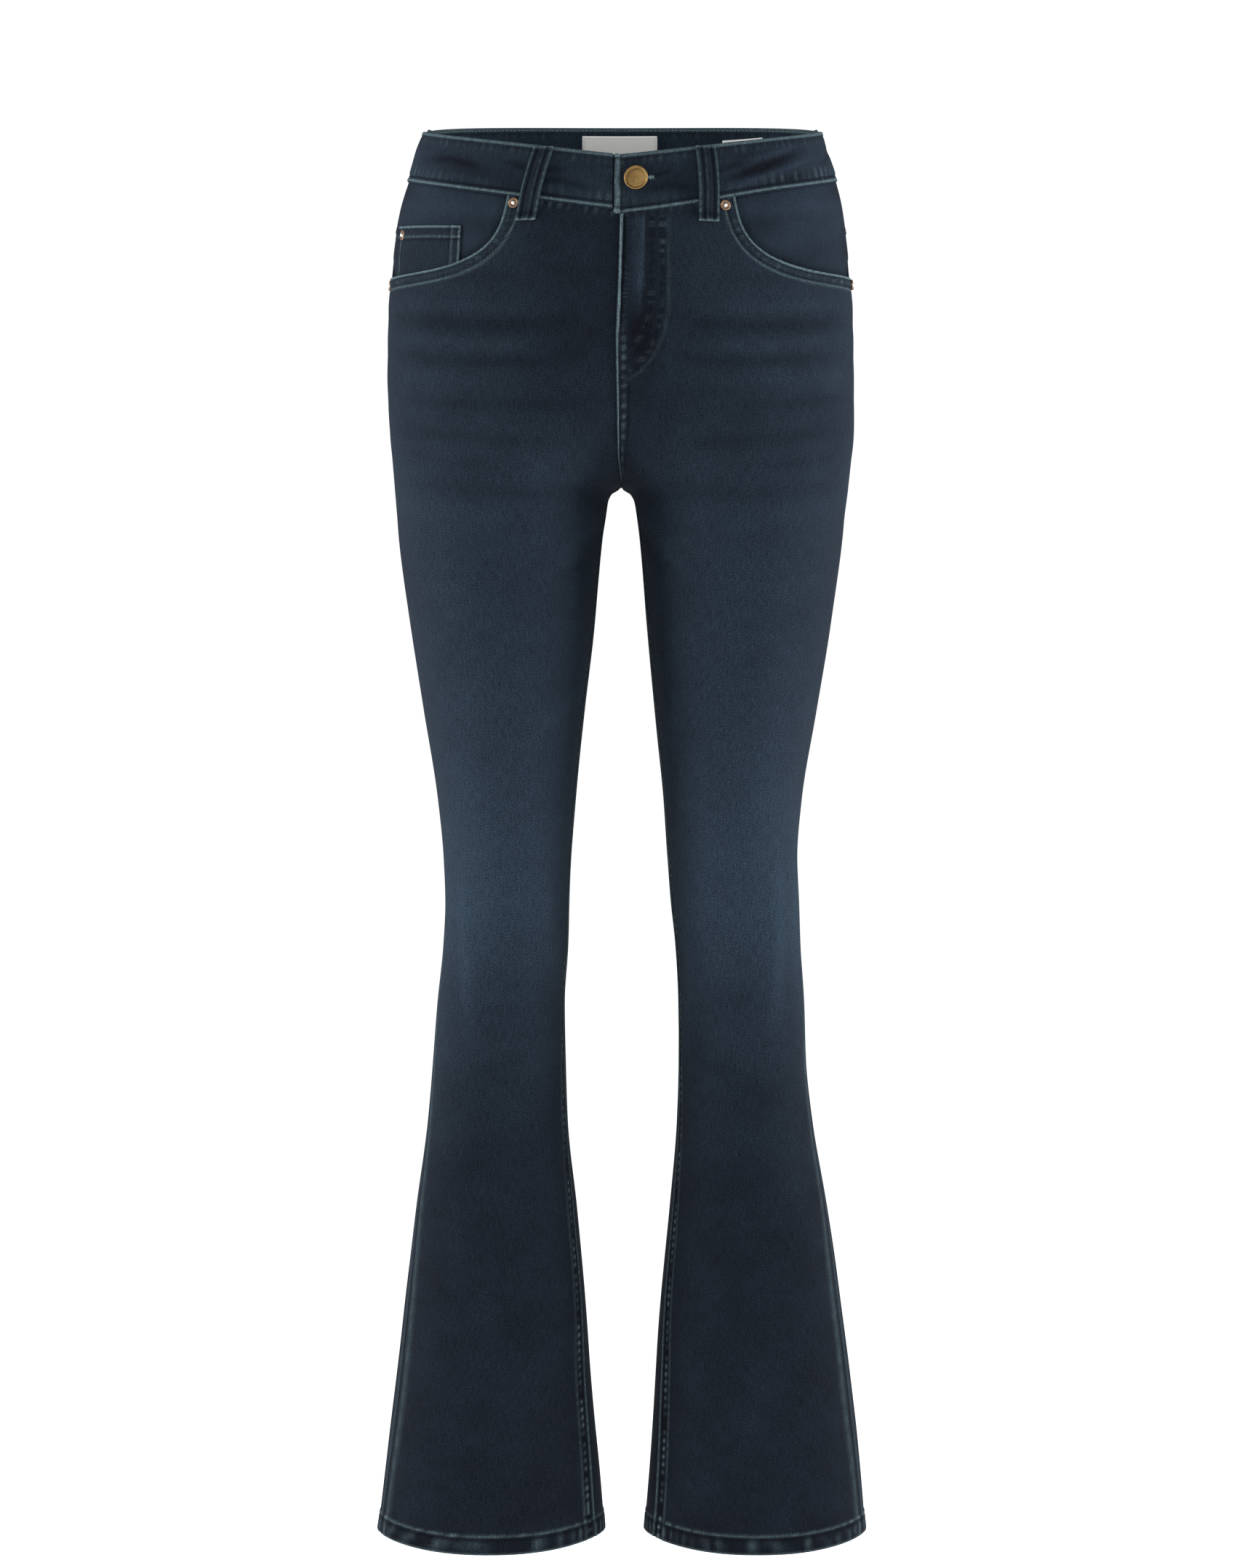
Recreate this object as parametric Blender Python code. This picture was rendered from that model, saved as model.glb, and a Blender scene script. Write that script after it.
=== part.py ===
"""Bootcut jeans, held up by the waist as if worn: sewn pieces of denim cloth, each a thin closed wall.

Metres, +Z up. The origin is the middle of the waist, level with the waistband's top edge at the hips.
The front faces -Y and the wearer's left is +X. "left" and "right" are always the wearer's.
"""
import math

import bmesh
import bpy
from mathutils import Vector

MM = 0.001

# ---------------------------------------------------------------- driving sizes, in metres
CLOTH = 1.2 * MM            # one ply of denim
BAND_THICK = 2.4 * MM       # the waistband's two plies
LOOP_THICK = 1.8 * MM       # a belt loop, folded to three plies
LOOP_WIDTH = 14.6 * MM
SEAM_GAP = 0.3 * MM         # between two pieces that meet at a seam
BAND_LIFT = 0.8 * MM        # how far the waistband's face stands out of the panels' face
TUCK = 2.3 * MM             # how far the cloth inside the pocket mouths lies under the panels' face
HEM_DEPTH = 13.5 * MM
HEM_TUCK = 1.6 * MM         # how far the turned-up hem's outer face lies under the leg's face
OVERLAP_END = 3.4 * MM      # the buttonhole end's edge, past the centre on the wearer's right
BUTTON_RADIUS = 8.6 * MM
SHANK_RADIUS = 1.4 * MM
HOLE_HALF_HEIGHT = 1.8 * MM
RIVET_RADIUS = 4.2 * MM
FRONT_COLUMNS = 12
BACK_COLUMNS = 12

# ---------------------------------------------------------------- the form, level by level
# Heights and sizes in millimetres, turns in degrees. "outer" and "inner" are each leg's sides from the
# centre line, front and back are the depths from the side seams' plane, and the turns say how far the
# outseam and the inseam come round to the front.
LEVEL_COLUMNS = ("z", "right_outer", "right_inner", "left_outer", "left_inner",
                 "front", "back", "outseam_turn", "inseam_turn")
LEVELS = (
    (40, 141.0, 0, 143.5, 0, 87, 89, 0, 0),
    (0, 152.5, 0, 155.0, 0, 95, 97, 0, 0),
    (-15, 158.0, 0, 159.5, 0, 98, 100, 0, 0),
    (-36, 164.0, 0, 166.0, 0, 101, 105, 0, 0),
    (-72, 174.0, 0, 174.0, 0, 107, 113, 0, 0),
    (-106, 177.4, 0, 176.8, 0, 111, 119, 0, 0),
    (-140, 180.3, 0, 179.7, 0, 113, 124, 0, 0),
    (-185, 180.8, 0, 180.4, 0, 114, 126, 0, 0),
    (-230, 179.1, 0, 180.6, 0, 111, 121, 0, 0),
    (-264, 176.3, 0, 177.4, 0, 107, 112, 0, 0),
    (-274.5, 175.6, 0, 176.4, 0, 105.5, 109.5, 0, 0),
    (-279, 175.2, 6.5, 175.9, 6.5, 105, 108, 0, 2),
    (-286, 174.5, 10.0, 174.9, 10.3, 104, 106.5, 0, 4),
    (-297, 173.6, 11.5, 173.4, 12.0, 103, 104.5, 0, 6),
    (-315, 172.3, 14.1, 171.8, 14.1, 101, 101, 0, 8),
    (-382, 163.3, 19.8, 162.7, 19.8, 96, 93, 0, 12),
    (-450, 152.6, 28.3, 151.4, 26.0, 89, 85, 0, 13),
    (-518, 141.8, 35.0, 140.1, 33.3, 81, 76, 0, 13),
    (-563, 137.3, 38.4, 136.7, 36.2, 75, 69, 1, 12),
    (-597, 136.2, 40.1, 137.9, 38.4, 70, 65, 2, 12),
    (-631, 137.9, 41.2, 139.0, 41.8, 67, 63, 4, 12),
    (-676, 142.4, 44.1, 141.8, 44.1, 65, 65, 7, 12),
    (-721, 145.8, 42.9, 143.5, 44.6, 64, 66, 10, 13),
    (-767, 149.7, 41.2, 148.6, 43.5, 63, 67, 13, 15),
    (-834, 158.8, 34.5, 159.9, 37.9, 63, 66, 17, 18),
    (-902, 167.2, 27.7, 170.1, 31.1, 63, 65, 21, 20),
    (-970, 175.2, 22.6, 179.1, 26.0, 62, 64, 22, 24),
    (-1038, 183.1, 16.4, 185.9, 22.0, 61, 63, 19, 26),
    (-1110, 191.0, 11.0, 191.5, 16.5, 61, 62, 15, 27),
)
SQUARENESS = 2.25           # the sections' superellipse power
CROTCH_Z = -274.5
FRONT_FORK_Z, FRONT_FORK_POWER = -170.0, 1.5    # where the front begins to part into two legs, and how fast
BACK_FORK_Z, BACK_FORK_POWER = -110.0, 2.0
FRONT_GUIDE_TOP_Z, BACK_GUIDE_TOP_Z, COLUMN_GUIDE_LOW_Z, COLUMN_BEND = -160.0, -130.0, -328.0, 5

# The waistband's edges, the yoke seam and the hem as heights: at the side, and their change at the centre.
FRONT_TOP = (0.0, -33.5)
BACK_TOP = (0.0, 18.8)
FRONT_SEAM = (-36.0, -37.0)
BACK_SEAM = (-36.0, 17.0)
YOKE_SEAM = (-78.0, -20.0)
EDGE_POWER = {"top": 1.05, "seam": 1.15, "yoke": 1.0}
BACK_POWER = {"top": 2.2, "seam": 1.9}     # how flat the waistband lies across the back
HEM_SIDE_Z, HEM_FRONT_DROP, HEM_BACK_DROP = -1083.0, 10.0, 7.0

# The pocket mouth from the waist seam to the side seam: share of the front panel's width, and height.
MOUTH = ((0.702, -60.0), (0.695, -78.0), (0.676, -91.5), (0.632, -103.5), (0.565, -111.0), (0.48, -115.0),
         (0.39, -116.5), (0.29, -116.8), (0.19, -116.3), (0.09, -115.5), (0.0, -114.5))
# The front panel's rows beside the mouth end at these heights of the centre front.
MOUTH_CENTRE_Z = (-73.0, -80.5, -88.0, -95.5, -102.5, -109.0, -115.5, -121.5, -127.0, -132.0, -137.0)
FRONT_ROWS = ((-145, -157), (-172, -177), (-196, -197), (-220, -220), (-242, -242), (-259, -259),
              (-268.5, -268.5), (-273.5, -273.5), (CROTCH_Z, CROTCH_Z))
BACK_ROWS = (-112, -142, -172, -200, -226, -246, -260, -268.5, -273.5, CROTCH_Z)
LEG_ROWS = (-279, -290, -310, -345, -390, -440, -495, -545, -590, -635, -690, -750, -820, -895, -970, -1035)


# ---------------------------------------------------------------- the surface
def level(name, z):
    """A column of LEVELS at any height, by a monotone cubic through its rows."""
    index = LEVEL_COLUMNS.index(name)
    heights = [row[0] for row in LEVELS]
    values = [row[index] for row in LEVELS]
    z = min(max(z, heights[-1]), heights[0])
    k = next(i for i in range(len(heights) - 1) if z >= heights[i + 1])
    rates = [(values[i + 1] - values[i]) / (heights[i + 1] - heights[i]) for i in range(len(heights) - 1)]

    def slope(i):
        before = rates[max(i - 1, 0)]
        after = rates[min(i, len(rates) - 1)]
        return 0.0 if before * after <= 0 else 2 * before * after / (before + after)

    step = heights[k + 1] - heights[k]
    t = (z - heights[k]) / step
    return ((2 * t ** 3 - 3 * t ** 2 + 1) * values[k] + (t ** 3 - 2 * t ** 2 + t) * step * slope(k)
            + (3 * t ** 2 - 2 * t ** 3) * values[k + 1] + (t ** 3 - t ** 2) * step * slope(k + 1))


def smooth(value):
    """0 to 1 with soft ends."""
    value = min(max(value, 0.0), 1.0)
    return value * value * (3 - 2 * value)


def fork(z, front):
    """How far the section has parted into two legs: 0 at the hips, 1 at the crotch and below."""
    start, power = (FRONT_FORK_Z, FRONT_FORK_POWER) if front else (BACK_FORK_Z, BACK_FORK_POWER)
    share = (z - start) / (CROTCH_Z - start)
    return min(max(share, 0.0), 1.0) ** power


def rounded(value):
    return math.copysign(abs(value) ** (2 / SQUARENESS), value)


def surface(side, angle, z):
    """A point of the cloth's outer face. The angle runs from the outer side, positive over the front."""
    front = math.sin(angle) >= 0
    outer = level(side + "_outer", z)
    if z > CROTCH_Z:
        parted = fork(z, front)
        centre = outer * parted / (1 + parted)
    else:
        centre = (outer + level(side + "_inner", z)) / 2
    x = centre + (outer - centre) * rounded(math.cos(angle))
    y = -level("front" if front else "back", z) * rounded(math.sin(angle))
    return Vector((x if side == "left" else -x, y, z)) * MM


def normal(side, angle, z):
    step = 0.004
    across = surface(side, angle + step, z) - surface(side, angle - step, z)
    down = surface(side, angle, z - 1) - surface(side, angle, z + 1)
    out = across.cross(down).normalized()
    return out if side == "left" else -out


def raised(side, angle, z, lift):
    """The surface's point moved out along its normal by a lift in metres."""
    return surface(side, angle, z) + normal(side, angle, z) * lift


def column_angle(u, z, end, guide_top):
    """The angle at a share u of a panel's width that ends at a given angle from the outer side.

    The columns follow a guide that opens slowly from the hips to the legs, so that they run down the cloth
    without a jog at the crotch. Only those near the end bend, to meet the seam.
    """
    opened = smooth((guide_top - z) / (guide_top - COLUMN_GUIDE_LOW_Z))
    ratio = math.pi / 2 * (1 + opened) / end
    return end * (u * ratio - (ratio - 1) * u ** COLUMN_BEND)


def front_angle(u, z):
    """The angle at a share u of the front panel's width, from the side seam to the centre or the inseam."""
    if z > CROTCH_Z:
        end = math.acos(-fork(z, True) ** (SQUARENESS / 2))
    else:
        end = math.pi - math.radians(level("inseam_turn", z))
    turn = math.radians(level("outseam_turn", z))
    return turn + (1 - turn / end) * column_angle(u, z, end, FRONT_GUIDE_TOP_Z)


def back_angle(u, z):
    if z > CROTCH_Z:
        end = math.acos(-fork(z, False) ** (SQUARENESS / 2))
    else:
        end = math.pi + math.radians(level("inseam_turn", z))
    turn = math.radians(level("outseam_turn", z))
    return turn - (1 + turn / end) * column_angle(u, z, end, BACK_GUIDE_TOP_Z)


def edge(line, u, kind):
    """The height of a waistband edge or of the yoke seam at a share u of a panel's width."""
    if line[1] > 0:
        return line[0] + line[1] * (1 - (1 - min(max(u, 0.0), 1.0)) ** BACK_POWER[kind])
    return line[0] + line[1] * u ** EDGE_POWER[kind]


def hem_z(angle):
    drop = HEM_FRONT_DROP if math.sin(angle) > 0 else HEM_BACK_DROP
    return HEM_SIDE_Z - drop * math.sin(angle) ** 2


def mix(a, b, share):
    return a + (b - a) * share


def read_table(table, x):
    """Straight lines through a table's (x, y) rows, which may rise or fall in x."""
    rows = sorted(table)
    x = min(max(x, rows[0][0]), rows[-1][0])
    k = next(i for i in range(len(rows) - 1) if x <= rows[i + 1][0])
    (x0, y0), (x1, y1) = rows[k], rows[k + 1]
    return mix(y0, y1, (x - x0) / (x1 - x0))


# ---------------------------------------------------------------- bodies and materials
def clear_scene():
    for old in list(bpy.data.objects):
        bpy.data.objects.remove(old, do_unlink=True)


def material(name, colour, roughness, metallic=0.0):
    found = bpy.data.materials.new(name)
    found.use_nodes = True
    shader = found.node_tree.nodes["Principled BSDF"]
    shader.inputs["Base Color"].default_value = (*colour, 1.0)
    shader.inputs["Roughness"].default_value = roughness
    shader.inputs["Metallic"].default_value = metallic
    found.diffuse_color = (*colour, 1.0)
    return found


def add_object(name, vertices, faces, paint):
    mesh = bpy.data.meshes.new(name)
    mesh.from_pydata([tuple(v) for v in vertices], [], faces)
    cleaner = bmesh.new()
    cleaner.from_mesh(mesh)
    if cleaner.calc_volume(signed=True) < 0:
        bmesh.ops.reverse_faces(cleaner, faces=cleaner.faces)
    cleaner.to_mesh(mesh)
    cleaner.free()
    mesh.materials.append(paint)
    made = bpy.data.objects.new(name, mesh)
    bpy.context.scene.collection.objects.link(made)
    return made


def inset(rows, amount, closed):
    """Moves a grid's border in by an amount, towards the next row or column."""
    moved = [list(row) for row in rows]
    last = len(rows[0]) - 1
    if not closed:
        for i, row in enumerate(rows):
            moved[i][0] = row[0] + (row[1] - row[0]).normalized() * amount
            moved[i][last] = row[last] + (row[last - 1] - row[last]).normalized() * amount
    for j in range(last + 1):
        moved[0][j] = moved[0][j] + (rows[1][j] - rows[0][j]).normalized() * amount
        moved[-1][j] = moved[-1][j] + (rows[-2][j] - rows[-1][j]).normalized() * amount
    return moved


def cloth(name, paint, places, thick=CLOTH, closed=False, half=None):
    """A closed wall over a grid of (side, angle, z, lift) places: the lift is that of its outer face.

    A piece that stays on one half of the garment names it in half, and keeps off the centre line.
    """
    outer = inset([[raised(*place) for place in row] for row in places], SEAM_GAP / 2, closed)
    inner = []
    for faces_row, place_row in zip(outer, places):
        inner.append([point - normal(*place[:3]) * thick for point, place in zip(faces_row, place_row)])
    if half:
        sign = 1 if half == "left" else -1
        for point in (p for grid in (outer, inner) for row in grid for p in row):
            point.x = sign * max(sign * point.x, SEAM_GAP / 2)
    return wall(name, paint, outer, inner, closed)


def wall(name, paint, outer, inner, closed=False):
    """Two grids of points joined round their borders into one closed body."""
    height, width = len(outer), len(outer[0])
    vertices = [p for grid in (outer, inner) for row in grid for p in row]
    spans = width if closed else width - 1

    def at(layer, i, j):
        return (layer * height + i) * width + j % width

    faces = []
    for i in range(height - 1):
        for j in range(spans):
            a, b, c, d = at(0, i, j), at(0, i, j + 1), at(0, i + 1, j + 1), at(0, i + 1, j)
            faces += [(a, b, c), (a, c, d)]
            a, b, c, d = at(1, i, j), at(1, i, j + 1), at(1, i + 1, j + 1), at(1, i + 1, j)
            faces += [(a, c, b), (a, d, c)]
    for i, turn in ((0, False), (height - 1, True)):
        for j in range(spans):
            rim = (at(0, i, j), at(1, i, j), at(1, i, j + 1), at(0, i, j + 1))
            faces.append(rim[::-1] if turn else rim)
    if not closed:
        for j, turn in ((0, True), (width - 1, False)):
            for i in range(height - 1):
                rim = (at(0, i, j), at(1, i, j), at(1, i + 1, j), at(0, i + 1, j))
                faces.append(rim[::-1] if turn else rim)
    return add_object(name, vertices, faces, paint)


def turned(name, paint, profile, place, sides=20):
    """A round piece turned about the surface's normal at a place. The profile is (radius, height) rows,
    and starts and ends on the axis."""
    side, angle, z, lift = place
    axis = normal(side, angle, z)
    centre = raised(side, angle, z, lift)
    across = axis.cross(Vector((0, 0, 1))).normalized()
    up = across.cross(axis)
    vertices = [centre + axis * profile[0][1]]
    for radius, height in profile[1:-1]:
        for k in range(sides):
            turn = 2 * math.pi * k / sides
            vertices.append(centre + axis * height + (across * math.cos(turn) + up * math.sin(turn)) * radius)
    vertices.append(centre + axis * profile[-1][1])
    faces = []
    for k in range(sides):
        after = (k + 1) % sides
        faces.append((0, 1 + after, 1 + k))
        for ring in range(len(profile) - 3):
            low, high = 1 + ring * sides, 1 + (ring + 1) * sides
            faces.append((low + k, low + after, high + after, high + k))
        top = 1 + (len(profile) - 3) * sides
        faces.append((top + k, top + after, len(vertices) - 1))
    made = add_object(name, vertices, faces, paint)
    made.data.shade_smooth()
    made.data.set_sharp_from_angle(angle=math.radians(35))
    return made


def trim(piece, other, operation):
    """Cuts a piece by another solid, which is then taken away."""
    cut = piece.modifiers.new("trim", "BOOLEAN")
    cut.operation = operation
    cut.object = other
    bpy.context.view_layer.update()
    evaluated = piece.evaluated_get(bpy.context.evaluated_depsgraph_get())
    result = bpy.data.meshes.new_from_object(evaluated)
    piece.modifiers.remove(cut)
    piece.data = result
    bpy.data.objects.remove(other, do_unlink=True)


def prism(outline, y_near, y_far, paint):
    """A guide solid: an outline of (x, z) points pushed through from one depth to another."""
    count = len(outline)
    vertices = [Vector((x, y, z)) for y in (y_near, y_far) for x, z in outline]
    faces = [tuple(range(count)), tuple(range(2 * count - 1, count - 1, -1))]
    faces += [(k, count + k, count + (k + 1) % count, (k + 1) % count) for k in range(count)]
    return add_object("guide", vertices, faces, paint)


# ---------------------------------------------------------------- legs
def leg_rows(side, angle_of, columns):
    rows = [[(side, angle_of(j / columns, z), z, 0.0) for j in range(columns + 1)] for z in LEG_ROWS]
    last = []
    for j in range(columns + 1):
        angle = angle_of(j / columns, HEM_SIDE_Z)
        last.append((side, angle, hem_z(angle), 0.0))
    return rows + [last]


def front_panel(side, paint):
    """The front from the waist seam and the pocket mouth down to the hem."""
    rows = []
    for (u_mouth, z_mouth), z_centre in zip(MOUTH, MOUTH_CENTRE_Z):
        row = []
        for j in range(FRONT_COLUMNS + 1):
            share = j / FRONT_COLUMNS
            u = mix(u_mouth, 1.0, share)
            z = mix(z_mouth, z_centre, share) if rows else edge(FRONT_SEAM, u, "seam")
            row.append((side, front_angle(u, z), z, 0.0))
        rows.append(row)
    for z_side, z_centre in FRONT_ROWS:
        row = []
        for j in range(FRONT_COLUMNS + 1):
            u = j / FRONT_COLUMNS
            z = mix(z_side, z_centre, u)
            row.append((side, front_angle(u, z), z, 0.0))
        rows.append(row)
    rows += leg_rows(side, front_angle, FRONT_COLUMNS)
    return cloth("front_" + side, paint, rows, half=side)


def back_grid(side, lift):
    rows = [[(side, back_angle(j / BACK_COLUMNS, edge(YOKE_SEAM, j / BACK_COLUMNS, "yoke")),
              edge(YOKE_SEAM, j / BACK_COLUMNS, "yoke"), lift) for j in range(BACK_COLUMNS + 1)]]
    for z in BACK_ROWS:
        rows.append([(side, back_angle(j / BACK_COLUMNS, z), z, lift) for j in range(BACK_COLUMNS + 1)])
    return rows


def back_panel(side, paint):
    rows = back_grid(side, 0.0) + leg_rows(side, back_angle, BACK_COLUMNS)
    return cloth("back_" + side, paint, rows, half=side)


def yoke(side, paint):
    """The shaped piece between the waistband and the back panel."""
    rows = []
    for share in (0.0, 0.5, 1.0):
        row = []
        for j in range(BACK_COLUMNS + 1):
            u = j / BACK_COLUMNS
            z = mix(edge(BACK_SEAM, u, "seam"), edge(YOKE_SEAM, u, "yoke"), share)
            row.append((side, back_angle(u, z), z, 0.0))
        rows.append(row)
    return cloth("yoke_" + side, paint, rows, half=side)


def hem(side, paint):
    """The leg's end turned up inside, on the leg's own columns."""
    angles = [front_angle(j / FRONT_COLUMNS, HEM_SIDE_Z) for j in range(FRONT_COLUMNS + 1)]
    angles += [back_angle(j / BACK_COLUMNS, HEM_SIDE_Z) for j in range(BACK_COLUMNS - 1, 0, -1)]
    rows = []
    for rise in (HEM_DEPTH, HEM_DEPTH / 2, 0.0):
        rows.append([(side, angle, hem_z(angle) + rise / MM, -HEM_TUCK) for angle in angles])
    return cloth("hem_" + side, paint, rows, closed=True)


# ---------------------------------------------------------------- pockets
def facing_lift(u, z):
    """The facing is level with the side seam and goes down under the front panel at the mouth."""
    under_edge = smooth((-95 - z) / 15)
    return -TUCK * max(min(1.0, u / 0.25), under_edge)


def pocket_facing(side, paint):
    """The cloth seen in the pocket mouth, from the side seam and the waist seam to under the front panel."""
    bottom_z, columns, levels = -126.5, 8, 7
    reach = ((0.0, 0.745), (0.2, 0.74), (0.4, 0.725), (0.6, 0.69), (0.8, 0.60), (1.0, 0.42))
    rows = []
    for i in range(levels + 1):
        share = i / levels
        row = []
        for j in range(columns + 1):
            u = read_table(reach, share) * j / columns
            z = mix(edge(FRONT_SEAM, u, "seam"), bottom_z, share)
            row.append((side, front_angle(u, z), z, facing_lift(u, z)))
        rows.append(row)
    return cloth("pocket_facing_" + side, paint, rows, half=side)


def coin_pocket(paint):
    """The small patch on the wearer's right facing, down to the pocket mouth."""
    start, end, columns, levels = 0.15, 0.54, 8, 4
    top = ((start, -77.0), (end, -84.0))
    thick, above_facing, above_mouth = 1.0 * MM, 0.4 * MM, 0.7
    rows = []
    for i in range(levels + 1):
        row = []
        for j in range(columns + 1):
            u = mix(start, end, j / columns)
            z = mix(read_table(top, u), read_table(MOUTH[2:], u) + above_mouth, i / levels)
            row.append(("right", front_angle(u, z), z, facing_lift(u, z) + above_facing + thick))
        rows.append(row)
    return cloth("coin_pocket", paint, rows, thick=thick, half="right")


def back_pocket(side, paint):
    """A plain patch pocket: the back panel's own points moved out, cut to the pocket's outline."""
    outline = ((35, -128), (143, -122), (139, -232), (88, -262), (40, -238))
    above = SEAM_GAP * 1.3
    rows = [row for row in back_grid(side, above + CLOTH)]
    made = cloth("back_pocket_" + side, paint, rows)
    sign = 1 if side == "left" else -1
    corners = [(sign * x * MM, z * MM) for x, z in outline]
    trim(made, prism(corners[::sign], 0.02, 0.2, paint), "INTERSECT")
    return made


# ---------------------------------------------------------------- waist
def waistband(paint):
    """One strip, from the button end under the overlap, round the back, to the buttonhole end."""
    under = BAND_LIFT - BAND_THICK - 0.4 * MM
    path = [("left", True, u, under) for u in (0.89, 0.945, 1.0)]
    path += [("right", True, 0.985, under), ("right", True, 0.962, mix(under, BAND_LIFT, 0.45)),
             ("right", True, 0.935, mix(under, BAND_LIFT, 0.9)), ("right", True, 0.90, BAND_LIFT)]
    path += [("right", True, step / 10, BAND_LIFT) for step in range(8, -1, -1)]
    path += [("right", False, step / 10, BAND_LIFT) for step in range(1, 11)]
    path += [("left", False, step / 10, BAND_LIFT) for step in range(9, -1, -1)]
    path += [("left", True, u, BAND_LIFT) for u in (.1, .2, .3, .4, .5, .6, .7, .8, .86, .92, .96, 1.0)]
    path += [("right", True, 1 - OVERLAP_END / 0.32, BAND_LIFT)]
    rows = []
    for share in (0.0, 0.5, 1.0):
        row = []
        for side, front, u, lift in path:
            top = edge(FRONT_TOP if front else BACK_TOP, u, "top")
            bottom = edge(FRONT_SEAM if front else BACK_SEAM, u, "seam")
            z = mix(top, bottom, share)
            angle = front_angle(u, z) if front else back_angle(u, z)
            row.append((side, angle, z, lift))
        rows.append(row)
    made = cloth("waistband", paint, rows, thick=BAND_THICK)
    trim(made, buttonhole_cutter(paint), "DIFFERENCE")
    return made


def button_place(lift):
    z = -51.5
    return "left", front_angle(0.968, z), z, lift


def buttonhole_cutter(paint):
    """A slot with round ends, through the overlap only: it stops short of the strip's button end."""
    centre = raised(*button_place(0.0))
    length, steps = 17.0 * MM, 6
    outline = []
    for side_x, start in ((length, -90), (0.0, 90)):
        for k in range(steps + 1):
            turn = math.radians(start + 180 * k / steps)
            outline.append((centre.x + side_x + HOLE_HALF_HEIGHT * math.cos(turn),
                            centre.z + HOLE_HALF_HEIGHT * math.sin(turn)))
    behind = 1.9 * MM
    return prism(outline, centre.y - 10 * MM, centre.y + behind, paint)


def belt_loop(name, paint, side, front, u_top, u_bottom):
    """A folded strip sewn down on the waistband's top and under the waist seam, and free between."""
    sewn_top, sewn_low = BAND_LIFT + 0.35 * MM, 0.4 * MM
    below_top = 1.0
    top_line, seam_line = (FRONT_TOP, FRONT_SEAM) if front else (BACK_TOP, BACK_SEAM)
    angle_of = front_angle if front else back_angle
    top = edge(top_line, u_top, "top") - below_top
    seam = edge(seam_line, u_bottom, "seam")
    path = ((top, sewn_top), (top - 5, sewn_top), (top - 9, 2.9 * MM), (top - 16, 3.9 * MM),
            (mix(top, seam, 0.6), 4.1 * MM), (seam + 4, 3.6 * MM), (seam - 4, 2.2 * MM),
            (seam - 9, sewn_low), (seam - 19.5, sewn_low))
    rows = []
    for z, lift in path:
        u = mix(u_top, u_bottom, (top - z) / (top - path[-1][0]))
        here = surface(side, angle_of(u, z), z)
        width_share = (surface(side, angle_of(u - 0.01, z), z) - here).length / 0.01
        reach = LOOP_WIDTH / 2 / width_share
        rows.append([(side, angle_of(u + k * reach, z), z, lift + LOOP_THICK) for k in (-1, 0, 1)])
    return cloth(name, paint, rows, thick=LOOP_THICK)


def fly_underlap(paint):
    """The strip behind the front opening, from under the waistband to the fly's base."""
    across = (("right", 0.94), ("right", 0.97), ("right", 1.0), ("left", 0.965), ("left", 0.93))
    rows = []
    for z in (-77.0, -105.0, -135.0, -165.0, -197.0):
        rows.append([(side, front_angle(u, z), z, -CLOTH - 1.2 * MM) for side, u in across])
    return cloth("fly_underlap", paint, rows)


def label(name, paint, x_from, x_to, top_z, height):
    """A bare woven label on the waistband's inner face at the back, between two places across it."""
    thick, columns = 1.0 * MM, 6
    rows = []
    for share in (0.0, 0.5, 1.0):
        z = top_z - share * height
        row = []
        for j in range(columns + 1):
            x = mix(x_from, x_to, j / columns)
            side = "left" if x >= 0 else "right"
            reach = min(abs(x) / level(side + "_outer", z), 1.0)
            angle = -math.acos(reach ** (SQUARENESS / 2))
            row.append((side, angle, z, BAND_LIFT - BAND_THICK - 0.65 * MM))
        rows.append(row)
    return cloth(name, paint, rows, thick=thick)


# ---------------------------------------------------------------- metal
def button(paint):
    """A ring-faced button on a thin shank that goes through the buttonhole to the band's button end."""
    under_face = BAND_LIFT - BAND_THICK - 0.4 * MM
    foot = under_face + 0.35 * MM
    cap = BAND_LIFT + 0.6 * MM
    profile = ((0, foot), (SHANK_RADIUS, foot), (SHANK_RADIUS, cap), (BUTTON_RADIUS - 0.6 * MM, cap),
               (BUTTON_RADIUS, cap + 0.9 * MM), (BUTTON_RADIUS, cap + 1.8 * MM),
               (BUTTON_RADIUS - 0.8 * MM, cap + 2.6 * MM), (BUTTON_RADIUS - 2.6 * MM, cap + 2.6 * MM),
               (BUTTON_RADIUS - 3.6 * MM, cap + 1.7 * MM), (1.8 * MM, cap + 1.5 * MM),
               (1.0 * MM, cap + 2.0 * MM), (0, cap + 2.0 * MM))
    return turned("waist_button", paint, profile, button_place(0.0), sides=32)


def rivet(name, paint, side, u, z, lift):
    rim = RIVET_RADIUS
    profile = ((0, 0), (rim - 0.2 * MM, 0), (rim, 0.4 * MM), (rim - 0.8 * MM, 1.1 * MM),
               (rim - 1.9 * MM, 0.9 * MM), (1.3 * MM, 0.9 * MM), (1.0 * MM, 1.6 * MM), (0, 1.9 * MM))
    return turned(name, paint, profile, (side, front_angle(u, z), z, lift + 0.35 * MM), sides=18)


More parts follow.
